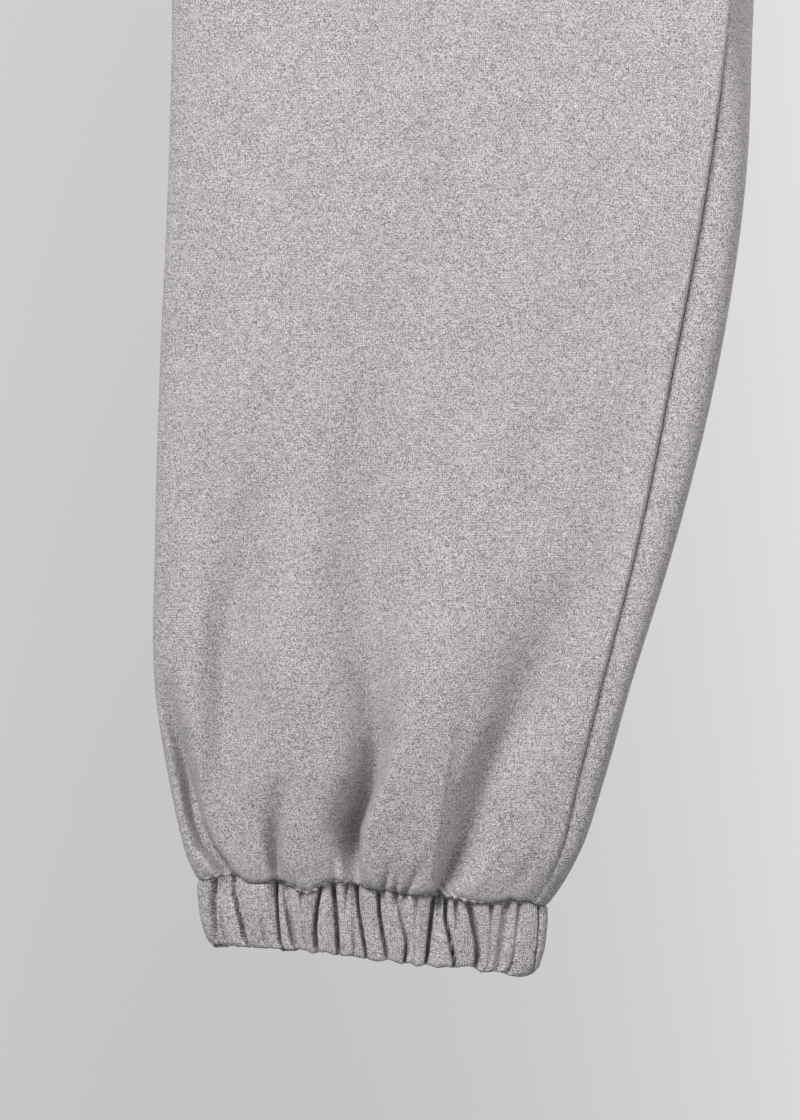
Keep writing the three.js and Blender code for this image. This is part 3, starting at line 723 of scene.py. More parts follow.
@dataclass(frozen=True)
class LegPanel:
    """One cut piece of a leg, from seam to seam.

    Attributes:
        side: the leg it belongs to.
        face: the front or the back.
        columns: steps across the panel.
        wall: the cloth's thickness, in mm.
        ditch: how far its edges sink into the seams, in mm.
        ditch_width: half width of that sinking, in mm.
        grid_width: width that its columns are spaced for, in mm.
        edge_step: distance between its first two columns, in mm.
        rise_fade: height over which the cuff seam's rise fades upwards, in mm.
        centre_reach: points above the crotch this near the centre plane lie at a centre seam, in mm.
    """

    side: Side
    face: Face
    columns: int
    wall: float = 1.5
    ditch: float = 0.5
    ditch_width: float = 1.1
    grid_width: float = 280.0
    edge_step: float = 0.35
    rise_fade: float = 26.0
    centre_reach: float = 40.0

    def name(self, word: str) -> str:
        """The panel's name, with the word that says what it is."""
        return f"{self.face.name.lower()}_{word}_{self.side.name.lower()}"

    def face_line(self, form: LegForm, z: float, face: Face, start: float, end: float) -> np.ndarray:
        """Follow one face of a section between two places.

        Args:
            form: the leg's form.
            z: the section's height, in mm.
            face: the front or the back.
            start: the first place, from 0 to 1.
            end: the last place, from 0 to 1.

        Returns:
            X, y and place of each point, for the right leg.
        """
        turn = np.linspace(math.acos(1 - 2 * start), math.acos(1 - 2 * end), 700)
        t = (1 - np.cos(turn)) / 2
        level = np.full_like(t, z)
        sunk = LegFolds(self.side).depth(form, level, t, face)
        sunk = sunk * np.minimum(1, 2 * form.lens(level, t, face))
        y = face.value * np.maximum(form.half_depth(level, t, face) - sunk, 0)
        return np.column_stack((form.x_at(level, t), y, t))

    def section_line(self, form: LegForm, z: float) -> np.ndarray:
        """Follow the panel across one section, from its first seam to its last.

        Args:
            form: the leg's form.
            z: the section's height, in mm.

        Returns:
            X, y and place of each point, for the right leg.
        """
        seam = float(form.seam_place(np.array([z]))[0])
        if self.face is Face.FRONT:
            return self.face_line(form, z, Face.FRONT, 0, seam)
        back = self.face_line(form, z, Face.BACK, 1, 0)
        if seam >= 1:
            return back
        shown = self.face_line(form, z, Face.FRONT, seam, 1)
        return np.concatenate((shown, back[1:]))

    def cut_width(self, z: np.ndarray) -> np.ndarray:
        """Width of the flat cloth at a height, for the knit's pattern."""
        return np.interp(-z, (45, 310, 627, 984.6), (225, 290, 255, 212))

    def grid(self, form: LegForm) -> PanelWall:
        """Lay the panel out.

        Args:
            form: the leg's form.

        Returns:
            The panel's wall of cloth.
        """
        heights = rows_from_steps(WAIST_SEAM_Z, CUFF_SEAM_Z)
        shares = graded(self.grid_width, self.edge_step, 2 * self.grid_width / self.columns * 0.62)
        lines = np.stack([spread(self.section_line(form, z), shares) for z in heights])
        level = np.repeat(heights[:, None], len(shares), axis=1)
        rise = form.seam_rise(lines[..., 2], lines[..., 1] < 0, self.side)
        rise = rise * np.exp(-(level - CUFF_SEAM_Z) / self.rise_fade)
        centre = -(form.outer(level) + form.inner(level)) / 2
        z = level - form.slope(level) * (lines[..., 0] - centre) + rise
        points = np.stack((lines[..., 0] * self.side.value, lines[..., 1], z), axis=-1)
        points = self.sink_edges(points, heights)
        down = lengths_along(points[:, len(shares) // 2])
        across = shares[None, :] * self.cut_width(level)
        cloth = np.stack((across, np.repeat(down[:, None], len(shares), axis=1)), axis=-1)
        seed = 1.0 + self.side.value + 3 * self.face.value
        return PanelWall(self.name("panel"), points, cloth, seed, self.wall)

    def sink_edges(self, points: np.ndarray, heights: np.ndarray) -> np.ndarray:
        """Draw the panel's edges into its seams.

        Near a centre seam they are drawn in along Y alone, so that no gap opens there.

        Args:
            points: the outside's points, in mm.
            heights: the rows' heights, in mm.

        Returns:
            The points, drawn in.
        """
        along = np.linalg.norm(np.diff(points, axis=1), axis=2)
        across = np.concatenate((np.zeros((len(points), 1)), np.cumsum(along, axis=1)), axis=1)
        from_side = np.minimum(across, across[:, -1:] - across)
        from_end = np.maximum(np.minimum(WAIST_SEAM_Z - heights, heights - CUFF_SEAM_Z), 0)[:, None]
        at_end = SEAM_DITCH * np.exp(-((from_end / SEAM_DITCH_REACH) ** SEAM_DITCH_POWER))
        sunk = np.maximum(self.ditch * np.exp(-((from_side / self.ditch_width) ** 2)), at_end)
        tangent = unit(np.gradient(points[..., :2], axis=1))
        outward = np.stack((tangent[..., 1], -tangent[..., 0]), axis=-1) * self.side.value
        above_crotch = heights[:, None] > CROTCH_Z - ARCH_HEIGHT
        at_centre = above_crotch & (np.abs(points[..., 0]) < self.centre_reach)
        outward[..., 0] = np.where(at_centre, 0, outward[..., 0])
        sunk_points = points.copy()
        sunk_points[..., :2] -= outward * sunk[..., None]
        return sunk_points


@dataclass(frozen=True)
class Groove:
    """A groove between two gathers of a band.

    Attributes:
        place: places along the girth at the seam, a third, two thirds and at the edge, in mm.
        half: half width, in mm.
        depth: depths at the seam, the middle and the edge, in mm.
    """

    place: tuple[float, float, float, float]
    half: float
    depth: tuple[float, float, float]

    def depth_at(self, along: np.ndarray, drop: np.ndarray, girth: float) -> np.ndarray:
        """How deep the groove is: a narrow slit in a wide, shallow dip.

        Args:
            along: distances along the girth, in mm.
            drop: shares of the band's height, 0 at its first edge.
            girth: the band's whole girth, in mm.

        Returns:
            Depths in mm.
        """
        line = np.interp(drop, (0, 1 / 3, 2 / 3, 1), self.place)
        apart = np.abs((along - line + girth / 2) % girth - girth / 2)
        depth = np.interp(drop, (0, 0.5, 1), self.depth)
        narrow = np.exp(-((apart / (0.72 * self.half + 0.16)) ** 3))
        wide = np.exp(-((apart / (2.0 * self.half + 1.7)) ** 2))
        return depth * (3.9 * narrow + 0.85 * wide)


# The grooves of the shown cuff's front, in mm from its centre, from the outer side inwards
SHOWN_GROOVES: tuple[Groove, ...] = (
    Groove((-61.0, -62.2, -63.2, -65.5), 1.6, (1.6, 2.0, 1.4)),
    Groove((-58.4, -58.0, -59.0, -59.5), 1.2, (0, 0.3, 0.7)),
    Groove((-53.3, -52.8, -51.2, -51.5), 1.0, (1.4, 1.8, 1.7)),
    Groove((-43.5, -42.8, -42.6, -42.8), 1.3, (0, 0.2, 0.8)),
    Groove((-36.8, -36.8, -36.8, -37.4), 0.6, (2.4, 2.6, 2.2)),
    Groove((-33.2, -32.7, -31.6, -31.4), 1.3, (1.2, 1.5, 1.6)),
    Groove((-26.8, -26.6, -26.4, -26.4), 1.0, (0.6, 0.2, 0.4)),
    Groove((-19.6, -21.4, -22.4, -22.4), 0.9, (2.0, 2.1, 1.8)),
    Groove((-15.3, -14.3, -13.8, -14.0), 0.9, (2.2, 2.6, 2.4)),
    Groove((-10.0, -10.0, -10.0, -10.0), 0.8, (1.2, 0.1, 0)),
    Groove((-6.4, -5.6, -4.0, -2.5), 0.6, (2.4, 2.6, 2.4)),
    Groove((-7.4, -7.2, -7.2, -7.4), 0.9, (0, 0.1, 0.7)),
    Groove((2.1, 2.4, 4.0, 6.0), 0.75, (1.9, 2.1, 1.9)),
    Groove((9.0, 10.5, 13.0, 13.0), 0.8, (0.6, 0.9, 1.9)),
    Groove((16.4, 16.6, 16.8, 17.0), 1.0, (0.7, 0.1, 0.2)),
    Groove((22.8, 22.0, 21.4, 21.6), 0.9, (2.4, 2.6, 2.2)),
    Groove((27.6, 27.4, 30.0, 33.6), 0.8, (2.1, 2.3, 2.0)),
    Groove((31.2, 31.7, 32.0, 32.0), 0.8, (1.4, 0.2, 0)),
    Groove((35.8, 38.0, 40.4, 42.0), 1.3, (1.4, 2.2, 2.0)),
    Groove((44.6, 45.0, 45.4, 46.0), 0.9, (0.9, 0.2, 0.3)),
    Groove((50.8, 49.6, 49.2, 50.6), 2.0, (0.8, 0.9, 0.7)),
    Groove((55.6, 54.8, 54.6, 55.0), 0.9, (0.7, 0.3, 0.6)),
    Groove((63.3, 63.6, 63.8, 66.0), 0.55, (0.9, 0.8, 0.8)),
)
# Where the shown cuff's hem rises above its straight line, in mm from its centre
HEM_RISE_PLACES = (-70, -63, -55, -46, -41, -36, -32, -29, -26, -24, -21, -18, -15.5, -12.5, -8, -3, 2.3,
                   7.4, 12, 15, 17.6, 22.8, 26, 30, 32.4, 35, 38.6, 43.6, 48.4, 51, 54.8, 58.8, 62.4, 70)
HEM_RISE_HEIGHTS = (1.6, 1.6, 2.0, 2.2, 2.4, 2.7, 2.5, 3.2, 3.0, 1.9, 2.4, 3.1, 2.2, 2.0, 2.3, 1.6, 1.0,
                    2.0, 0.5, 1.5, 0.2, 1.1, 0.3, 1.1, 0.5, 1.5, 2.0, -0.2, 0.4, 0.4, -0.8, -1.0, -0.5, 0)


def seeded_grooves(first: float, last: float, pitch: float, seed: int,
                   depth: float = 2.2) -> tuple[Groove, ...]:
    """Uneven grooves along a stretch of a band.

    Args:
        first: where the stretch starts, in mm.
        last: where it ends, in mm.
        pitch: mean distance between grooves, in mm.
        seed: the random generator's seed.
        depth: a deep groove's depth, in mm.

    Returns:
        The grooves, one in four of them short.
    """
    random = np.random.default_rng(seed)
    grooves = []
    place = first + pitch * random.uniform(0.3, 0.8)
    while place < last - pitch * 0.3:
        drift = random.normal(0, 0.14 * pitch, 3)
        line = tuple(place + shift for shift in (0.0, drift[0], drift[0] + drift[1], drift.sum()))
        top, middle, low = depth * random.uniform(0.55, 1.15, 3)
        if random.random() < 0.25:
            middle, low = 0.15 * middle, 0.1 * low
        grooves.append(Groove(line, random.uniform(0.6, 1.35), (top, middle, low)))
        place += pitch * random.uniform(0.55, 1.5)
    return tuple(grooves)


def soft_limit(depth: np.ndarray, limit: float) -> np.ndarray:
    """Keep depths under a limit without a sharp stop."""
    return limit * np.tanh(depth / limit)


def girth_stations(line: np.ndarray, count: int, dense: tuple[float, float] | None = None,
                   ) -> tuple[np.ndarray, np.ndarray, np.ndarray, float]:
    """Take columns round a closed girth.

    Args:
        line: the closed girth's points, in mm.
        count: how many columns to take.
        dense: a first share of the girth, and the share of the columns that it takes.

    Returns:
        Points, outward directions, distances along the girth, and its whole length, in mm.
    """
    lengths = lengths_along(line)
    girth = lengths[-1]
    shares = np.arange(count) / count
    if dense is not None:
        shares = np.interp(shares, (0, dense[1], 1), (0, dense[0], 1))
    goals = shares * girth
    ahead, behind = (read_line(line, lengths, (goals + reach) % girth) for reach in (1.2, -1.2))
    along = unit(ahead - behind)
    out = np.stack((along[:, 1], -along[:, 0]), axis=1)
    return read_line(line, lengths, goals % girth), out, goals, girth


@dataclass(frozen=True)
class Band:
    """What a cuff and the waistband share.

    Attributes:
        wall: thickness of the folded band, in mm.
        height: its height, in mm.
        pucker_pitch: distance between the tiny puckers at the seam, in mm.
        pucker_depth: their depth, in mm.
        edge_radius: radius of the folded edge, in mm.
        inside_drops: shares of the height of the inside's rows.
        least_inside: least thickness behind a gather, in mm.
    """

    wall: float
    height: float
    pucker_pitch: float = 1.5
    pucker_depth: float = 0.42
    edge_radius: float = 1.7
    inside_drops: tuple[float, ...] = (0.03, 0.2, 0.4, 0.6, 0.8, 0.97)
    least_inside: float = 1.2

    def drops(self, rows: int) -> np.ndarray:
        """Shares of the height of the outside's rows, finer at both ends."""
        return graded(self.height, 0.28, 1.9 * self.height / rows)

    def seam_ditch(self, drop: np.ndarray) -> np.ndarray:
        """How far the outside sinks towards its seam."""
        return SEAM_DITCH * np.exp(-((drop * self.height / SEAM_DITCH_REACH) ** SEAM_DITCH_POWER))

    def hold(self, drop: np.ndarray) -> np.ndarray:
        """Share of the gathers' depth: the seam itself holds them flat."""
        return smoothstep(drop * self.height, 0, 1.5)

    def edge_round(self, drop: np.ndarray) -> np.ndarray:
        """How far the outside rounds in at the folded edge."""
        left = np.clip(1 - (1 - drop) * self.height / self.edge_radius, 0, 1)
        return self.edge_radius * (1 - np.sqrt(1 - left**2 * 0.96))

    def puckers(self, along: np.ndarray, drop: np.ndarray, seed: float) -> np.ndarray:
        """Tiny puckers where the seam gathers the cloth.

        Args:
            along: distances along the girth, in mm.
            drop: shares of the height, 0 at the seam.
            seed: what shifts their order.

        Returns:
            Depths in mm.
        """
        wander = 0.9 * np.sin(along / 2.9 + seed) + 0.6 * np.sin(along / 1.31 + 2 * seed)
        wave = np.sin(TURN * along / self.pucker_pitch + wander)
        reach = 1.2 * (1.3 + np.sin(along / 3.7 + 3 * seed))
        return self.pucker_depth * (0.5 - 0.5 * wave) * np.exp(-((drop * self.height) / reach) ** 1.3)

    def drawn_in(self, base: np.ndarray, out: np.ndarray, depths: tuple[np.ndarray, np.ndarray],
                 drop: np.ndarray, outside: int) -> np.ndarray:
        """Draw the girth's points in to the outside's and the inside's surface.

        Args:
            base: points of the girth, in mm.
            out: their outward directions.
            depths: the gathers' depths outside and inside in mm, rows x girth.
            drop: each row's share of the height from the seam, as a column.
            outside: how many of the rows are the outside's; the rest are the inside's.

        Returns:
            X and y in mm, rows x girth x 2.
        """
        shell = (np.arange(len(drop)) < outside)[:, None]
        sunk = depths[0] + self.seam_ditch(drop) + self.edge_round(drop)
        sunk = np.where(shell, sunk, np.maximum(self.wall, depths[1] + self.least_inside))
        return base[None] - out[None] * sunk[..., None]


@dataclass(frozen=True)
class Cuff(Band):
    """An ankle cuff of folded knit, gathered by its elastic.

    Attributes:
        side: the leg.
        columns: points round the girth.
        rows: about how many rows the outside has.
        half_depth: half its depth at the seam, in mm.
        pitch: mean distance between grooves where they aren't listed, in mm.
        dense: on the shown cuff, the front's share of the girth and of the columns.
        drawn_length: front length that SHOWN_GROOVES was drawn for, in mm.
        turned_in: length of front that turns in past the inner edge's outline, in mm.
        shift: how far that moves the middle of what shows, in mm.
        groove_limit: depth that crossing grooves don't pass, in mm.
        carry: how far below the seam the leg's creases fade, in mm.
    """

    side: Side = Side.RIGHT
    columns: int = 900
    rows: int = 50
    half_depth: float = 17.0
    pitch: float = 6.6
    dense: tuple[float, float] = (0.5, 0.64)
    drawn_length: float = 141.5
    turned_in: float = 7.0
    shift: float = 3.4
    groove_limit: float = 10.5
    carry: float = 8.0

    def girth_line(self, form: LegForm) -> np.ndarray:
        """The cuff's section, from the outer edge over the front to the inner edge and back."""
        t = (1 - np.cos(np.linspace(0, math.pi, 600))) / 2
        level = np.full_like(t, CUFF_SEAM_Z)
        x = form.x_at(level, t)
        front = np.column_stack((x, -self.half_depth * form.lens(level, t, Face.FRONT)))
        back = np.column_stack((x, self.half_depth * form.lens(level, t, Face.BACK)))
        return np.concatenate((front, back[-2::-1]))

    def grooves(self, front_length: float, girth: float) -> tuple[Groove, ...]:
        """Place all grooves along the girth.

        Args:
            front_length: length of the front, in mm.
            girth: length of the whole girth, in mm.

        Returns:
            The front's grooves and then the back's.
        """
        if self.side is Side.LEFT:
            front = seeded_grooves(0, front_length, self.pitch, 17)
            return front + seeded_grooves(front_length, girth, self.pitch, 23)
        start = front_length / 2 - self.shift
        stretched = front_length - self.turned_in
        shown = tuple(Groove(tuple(start + x * stretched / self.drawn_length for x in groove.place),
                             groove.half, groove.depth) for groove in SHOWN_GROOVES)
        return shown + seeded_grooves(front_length, girth, self.pitch, 11)

    def gathers(self, front_length: float, along: np.ndarray, girth: float, drop: np.ndarray) -> np.ndarray:
        """Depth of the grooves, of slow lobes between them and of the seam's puckers.

        Args:
            front_length: length of the front, in mm.
            along: distances along the girth, in mm.
            girth: its whole length, in mm.
            drop: shares of the height, as a column.

        Returns:
            Depths in mm, rows x girth.
        """
        grooves = self.grooves(front_length, girth)
        depth = sum(groove.depth_at(along[None, :], drop, girth) for groove in grooves)
        depth = soft_limit(depth, self.groove_limit) * (1 - 0.35 * smoothstep(drop, 0.9, 1.0))
        lobes = (0.35 * np.sin(along / 5.3 + 1.1) + 0.25 * np.sin(along / 8.9 - drop * 1.7)
                 + 0.2 * np.sin(along / 2.6))
        return (depth + 0.4 * lobes + self.puckers(along[None, :], drop, 0.7)) * self.hold(drop)

    def carried_creases(self, form: LegForm, base: np.ndarray, t: np.ndarray, drop: np.ndarray) -> np.ndarray:
        """How far the leg's creases still draw the cuff in below the seam.

        Args:
            form: the leg's form.
            base: points of the girth at the seam, in mm.
            t: their places across the leg, from 0 to 1.
            drop: shares of the cuff's height, as a column.

        Returns:
            Steps along Y in mm, rows x girth.
        """
        folds = LegFolds(self.side)
        level = np.full_like(t, CUFF_SEAM_Z)
        steps = np.zeros_like(t)
        for face in Face:
            fold = folds.depth(form, level, t, face) * np.minimum(1, 2 * form.lens(level, t, face))
            steps = np.where(np.sign(base[:, 1]) == face.value, -face.value * fold, steps)
        return steps[None, :] * np.exp(-((drop * self.height / self.carry) ** 1.4))

    def hem_rise(self, x_from_centre: np.ndarray, front: np.ndarray) -> np.ndarray:
        """How far the hem rises above its straight line.

        Args:
            x_from_centre: distances from the cuff's middle, in mm.
            front: True where a point is on the front.

        Returns:
            Rises in mm.
        """
        shown = np.interp(x_from_centre, HEM_RISE_PLACES, HEM_RISE_HEIGHTS)
        plain = 0.8 + 0.6 * np.sin(x_from_centre / 4.1) + 0.5 * np.sin(x_from_centre / 2.3 + 1)
        return np.where(front & (self.side is Side.RIGHT), shown, plain)

    def wall_of_cloth(self, form: LegForm) -> BandWall:
        """Lay the cuff out, narrower and lower towards its hem.

        Args:
            form: the leg's form.

        Returns:
            The cuff's closed tube.
        """
        dense = self.dense if self.side is Side.RIGHT else None
        line = self.girth_line(form)
        front_length = float(steps_along(line[: len(line) // 2 + 1]).sum())
        base, out, along, girth = girth_stations(line, self.columns, dense)
        seam = np.array(CUFF_SEAM_Z)
        centre = -(float(form.outer(seam)) + float(form.inner(seam))) / 2
        outside = self.drops(self.rows)
        drop = np.concatenate((outside, self.inside_drops[::-1]))[:, None]
        depth = self.gathers(front_length, along, girth, drop)
        moved = self.drawn_in(base, out, (depth, depth), drop, len(outside))
        t = np.clip((base[:, 0] - centre) / CUFF_WIDTH + 0.5, 0, 1)
        moved[..., 1] += self.carried_creases(form, base, t, drop)
        ends = np.interp(drop, (0, 0.25, 0.6, 0.88, 1), (0, 0, 1, 3.2, 6.2))
        x = centre + (moved[..., 0] - centre) * (1 - ends / (CUFF_WIDTH / 2))
        front = base[None, :, 1] < 0
        seam_rise = form.seam_rise(t[None, :], front, self.side)
        level = CUFF_SEAM_Z + mix(seam_rise, self.hem_rise(x - centre, front) - self.height, drop)
        z = level - mix(CUFF_SEAM_SLOPE, HEM_SLOPE, drop) * (x - centre)
        points = np.stack((x * self.side.value, moved[..., 1], z), axis=-1)
        cloth = np.stack(np.broadcast_arrays(along[None, :], drop * self.height), axis=-1)
        return BandWall(f"cuff_band_{self.side.name.lower()}", points, cloth, 5.0 + self.side.value)


@dataclass(frozen=True)
class Waistband(Band):
    """The elastic waistband, gathered all round.

    Attributes:
        columns: points round the girth.
        rows: about how many rows the outside has.
        pitch: mean distance between grooves, in mm.
        groove_depth: a deep groove's depth, in mm.
        groove_limit: depth that crossing grooves don't pass, in mm.
    """

    columns: int = 1250
    rows: int = 34
    pitch: float = 8.0
    groove_depth: float = 0.6
    groove_limit: float = 2.6

    def girth_line(self, form: LegForm) -> np.ndarray:
        """The band's section, from the right side over the front to the left side and back."""
        t = (1 - np.cos(np.linspace(0, math.pi, 500))) / 2
        level = np.full_like(t, WAIST_SEAM_Z)
        x = form.x_at(level, t)
        front = np.column_stack((x, -form.read("front", level) * form.lens(level, t, Face.FRONT)))
        back = np.column_stack((x, form.read("back", level) * form.lens(level, t, Face.BACK)))
        mirror = (-1, 1)
        return np.concatenate((front, front[-2::-1] * mirror, (back * mirror)[1:], back[-2::-1]))

    def wall_of_cloth(self, form: LegForm) -> BandWall:
        """Lay the waistband out, from its top edge down to its seam.

        Args:
            form: the legs' form.

        Returns:
            The waistband's closed tube.
        """
        base, out, along, girth = girth_stations(self.girth_line(form), self.columns)
        outside = 1 - self.drops(self.rows)[::-1]
        # Known fault: the inside's rows run down as the outside's do, so the quads that join the two cross
        # inside the wall. They would have to run up, as a cuff's do.
        drop = np.concatenate((outside, self.inside_drops))[:, None]
        grooves = seeded_grooves(0, girth, self.pitch, 41, self.groove_depth)
        depth = sum(groove.depth_at(along[None, :], drop, girth) for groove in grooves)
        depth = soft_limit(depth, self.groove_limit) + self.puckers(along[None, :], 1 - drop, 1.9)
        held = depth * self.hold(1 - drop)
        moved = self.drawn_in(base, out, (held, depth), 1 - drop, len(outside))
        z = np.broadcast_to(-self.height * drop, moved.shape[:2])
        points = np.stack((moved[..., 0], moved[..., 1], z), axis=-1)
        cloth = np.stack(np.broadcast_arrays(along[None, :], drop * self.height), axis=-1)
        return BandWall("waist_band", points, cloth, 9.0)


@dataclass(frozen=True)
class StitchLine:
    """A row of short stitches lying in a seam.

    Attributes:
        pitch: distance between stitches, in mm.
        length: a stitch's length, in mm.
        radius: half the thread's thickness, in mm.
        first_seed: seed of the first seam's random generator.
    """

    pitch: float = 1.45
    length: float = 0.95
    radius: float = 0.2
    first_seed: int = 60

    def places(self, line: np.ndarray, seed: int) -> tuple[np.ndarray, np.ndarray]:
        """Middles and directions of the stitches along a line.

        Args:
            line: points of the seam, in mm.
            seed: the random generator's seed.

        Returns:
            Middles and unit directions.
        """
        random = np.random.default_rng(seed)
        lengths = lengths_along(line)
        goals = np.arange(self.pitch / 2, lengths[-1], self.pitch)
        goals = goals + random.normal(0, 0.12 * self.pitch, len(goals))
        ahead, behind = (read_line(line, lengths, goals + step) for step in (self.length / 2, -self.length / 2))
        return read_line(line, lengths, goals), unit(ahead - behind)

    def capsule(self) -> tuple[np.ndarray, list[tuple[int, ...]]]:
        """A stitch along X about the origin.

        Returns:
            Points and faces of a short six-sided thread with pointed ends.
        """
        angles = np.arange(6) * math.pi / 3
        ring = np.column_stack((np.zeros(6), np.cos(angles), np.sin(angles))) * self.radius
        reach = self.length / 2
        points = [(-reach, 0, 0)]
        for x in (-0.7 * reach, 0.7 * reach):
            points.extend((x, y * 0.85, z * 0.85) for _, y, z in ring)
        points.append((reach, 0, 0))
        faces = [(0, 1 + (k + 1) % 6, 1 + k) for k in range(6)]
        faces += [(1 + k, 1 + (k + 1) % 6, 7 + (k + 1) % 6, 7 + k) for k in range(6)]
        faces += [(13, 7 + k, 7 + (k + 1) % 6) for k in range(6)]
        return np.array(points), faces

    def build(self, name: str, lines: list[np.ndarray], finish: bpy.types.Material) -> bpy.types.Object:
        """Make one object of all the stitches along some lines.

        Args:
            name: the object's name.
            lines: points of the seams, in mm.
            finish: the thread's material.

        Returns:
            The object.
        """
        shape, faces = self.capsule()
        points = []
        corners = []
        for number, line in enumerate(lines):
            middles, along = self.places(line, self.first_seed + number)
            across = unit(np.cross(np.array((0.0, 0.0, 1.0)), along))
            for middle, *axes in zip(middles, along, across, np.cross(along, across)):
                start = len(points) * len(shape)
                points.append(middle + shape @ np.stack(axes))
                corners.extend(tuple(start + corner for corner in face) for face in faces)
        return add_piece(name, np.concatenate(points), corners, finish)


def linear(hex_colour: str) -> tuple[float, float, float, float]:
    """Turn an sRGB hex colour into linear RGBA."""
    values = [int(hex_colour[start:start + 2], 16) / 255 for start in (1, 3, 5)]
    return (*[v / 12.92 if v <= 0.04045 else ((v + 0.055) / 1.055) ** 2.4 for v in values], 1.0)


class Nodes:
    """Adds shader nodes to one tree."""

    def __init__(self, tree: bpy.types.NodeTree) -> None:
        """Empty the tree and keep it."""
        self.tree = tree
        tree.nodes.clear()

    def add(self, kind: str, settings: dict | None = None, **links: object) -> bpy.types.Node:
        """Add a node.

        Args:
            kind: the node's type.
            settings: the node's own settings.
            **links: values or output sockets by input name, or by _number for unnamed inputs.

        Returns:
            The node.
        """
        node = self.tree.nodes.new(kind)
        for key, value in (settings or {}).items():
            setattr(node, key, value)
        for key, value in links.items():
            socket = node.inputs[int(key[1:])] if key.startswith("_") else node.inputs[key.replace("_", " ")]
            if isinstance(value, bpy.types.NodeSocket):
                self.tree.links.new(value, socket)
            else:
                socket.default_value = value
        return node

    def math(self, operation: str, first: object, second: object = 0.0, third: object = 0.0,
             ) -> bpy.types.NodeSocket:
        """Add a maths node and return its result."""
        return self.add("ShaderNodeMath", {"operation": operation}, _0=first, _1=second, _2=third).outputs[0]

    def vector(self, operation: str, first: object, second: object = (0, 0, 0)) -> bpy.types.NodeSocket:
        """Add a vector maths node and return its result."""
        return self.add("ShaderNodeVectorMath", {"operation": operation}, _0=first, _1=second).outputs[0]

    def noise(self, place: object, scale: float, detail: float = 2.0, rough: float = 0.5,
              ) -> bpy.types.NodeSocket:
        """Add a noise texture and return its value, centred on 0."""
        node = self.add("ShaderNodeTexNoise", {"noise_dimensions": "3D"}, Vector=place, Scale=scale,
                        Detail=detail, Roughness=rough)
        return self.math("SUBTRACT", node.outputs[0], 0.5)

    def ramp(self, value: object, start: float, end: float, low: object, high: object) -> bpy.types.NodeSocket:
        """Add a clamped ramp from low at start to high at end and return its result."""
        return self.add("ShaderNodeMapRange", {"clamp": True}, Value=value, From_Min=start, From_Max=end,
                        To_Min=low, To_Max=high).outputs[0]


def new_finish(name: str) -> tuple[bpy.types.Material, Nodes]:
    """Make an empty material and return it with its nodes."""
    finish = bpy.data.materials.new(name)
    finish.use_nodes = True
    return finish, Nodes(finish.node_tree)


@dataclass(frozen=True)
class PlainFinish:
    """A matt finish of one colour.

    Attributes:
        name: the material's name.
        colour: its colour.
        roughness: how matt it is.
    """

    name: str
    colour: str
    roughness: float

    def make(self) -> bpy.types.Material:
        """Make the material."""
        finish, nodes = new_finish(self.name)
        surface = nodes.add("ShaderNodeBsdfPrincipled", Base_Color=linear(self.colour),
                            Roughness=self.roughness)
        nodes.add("ShaderNodeOutputMaterial", Surface=surface.outputs[0])
        return finish


# Spun polyester thread, twisted and dyed: a dull, darker line that sinks into the seam
SEWING_THREAD = PlainFinish("grey_sewing_thread", "#5d5c60", 0.8)
# Uncoated seamless paper, rolled: a flat pale tone with no gloss
STUDIO_PAPER = PlainFinish("studio_paper", "#d8d6d8", 0.95)


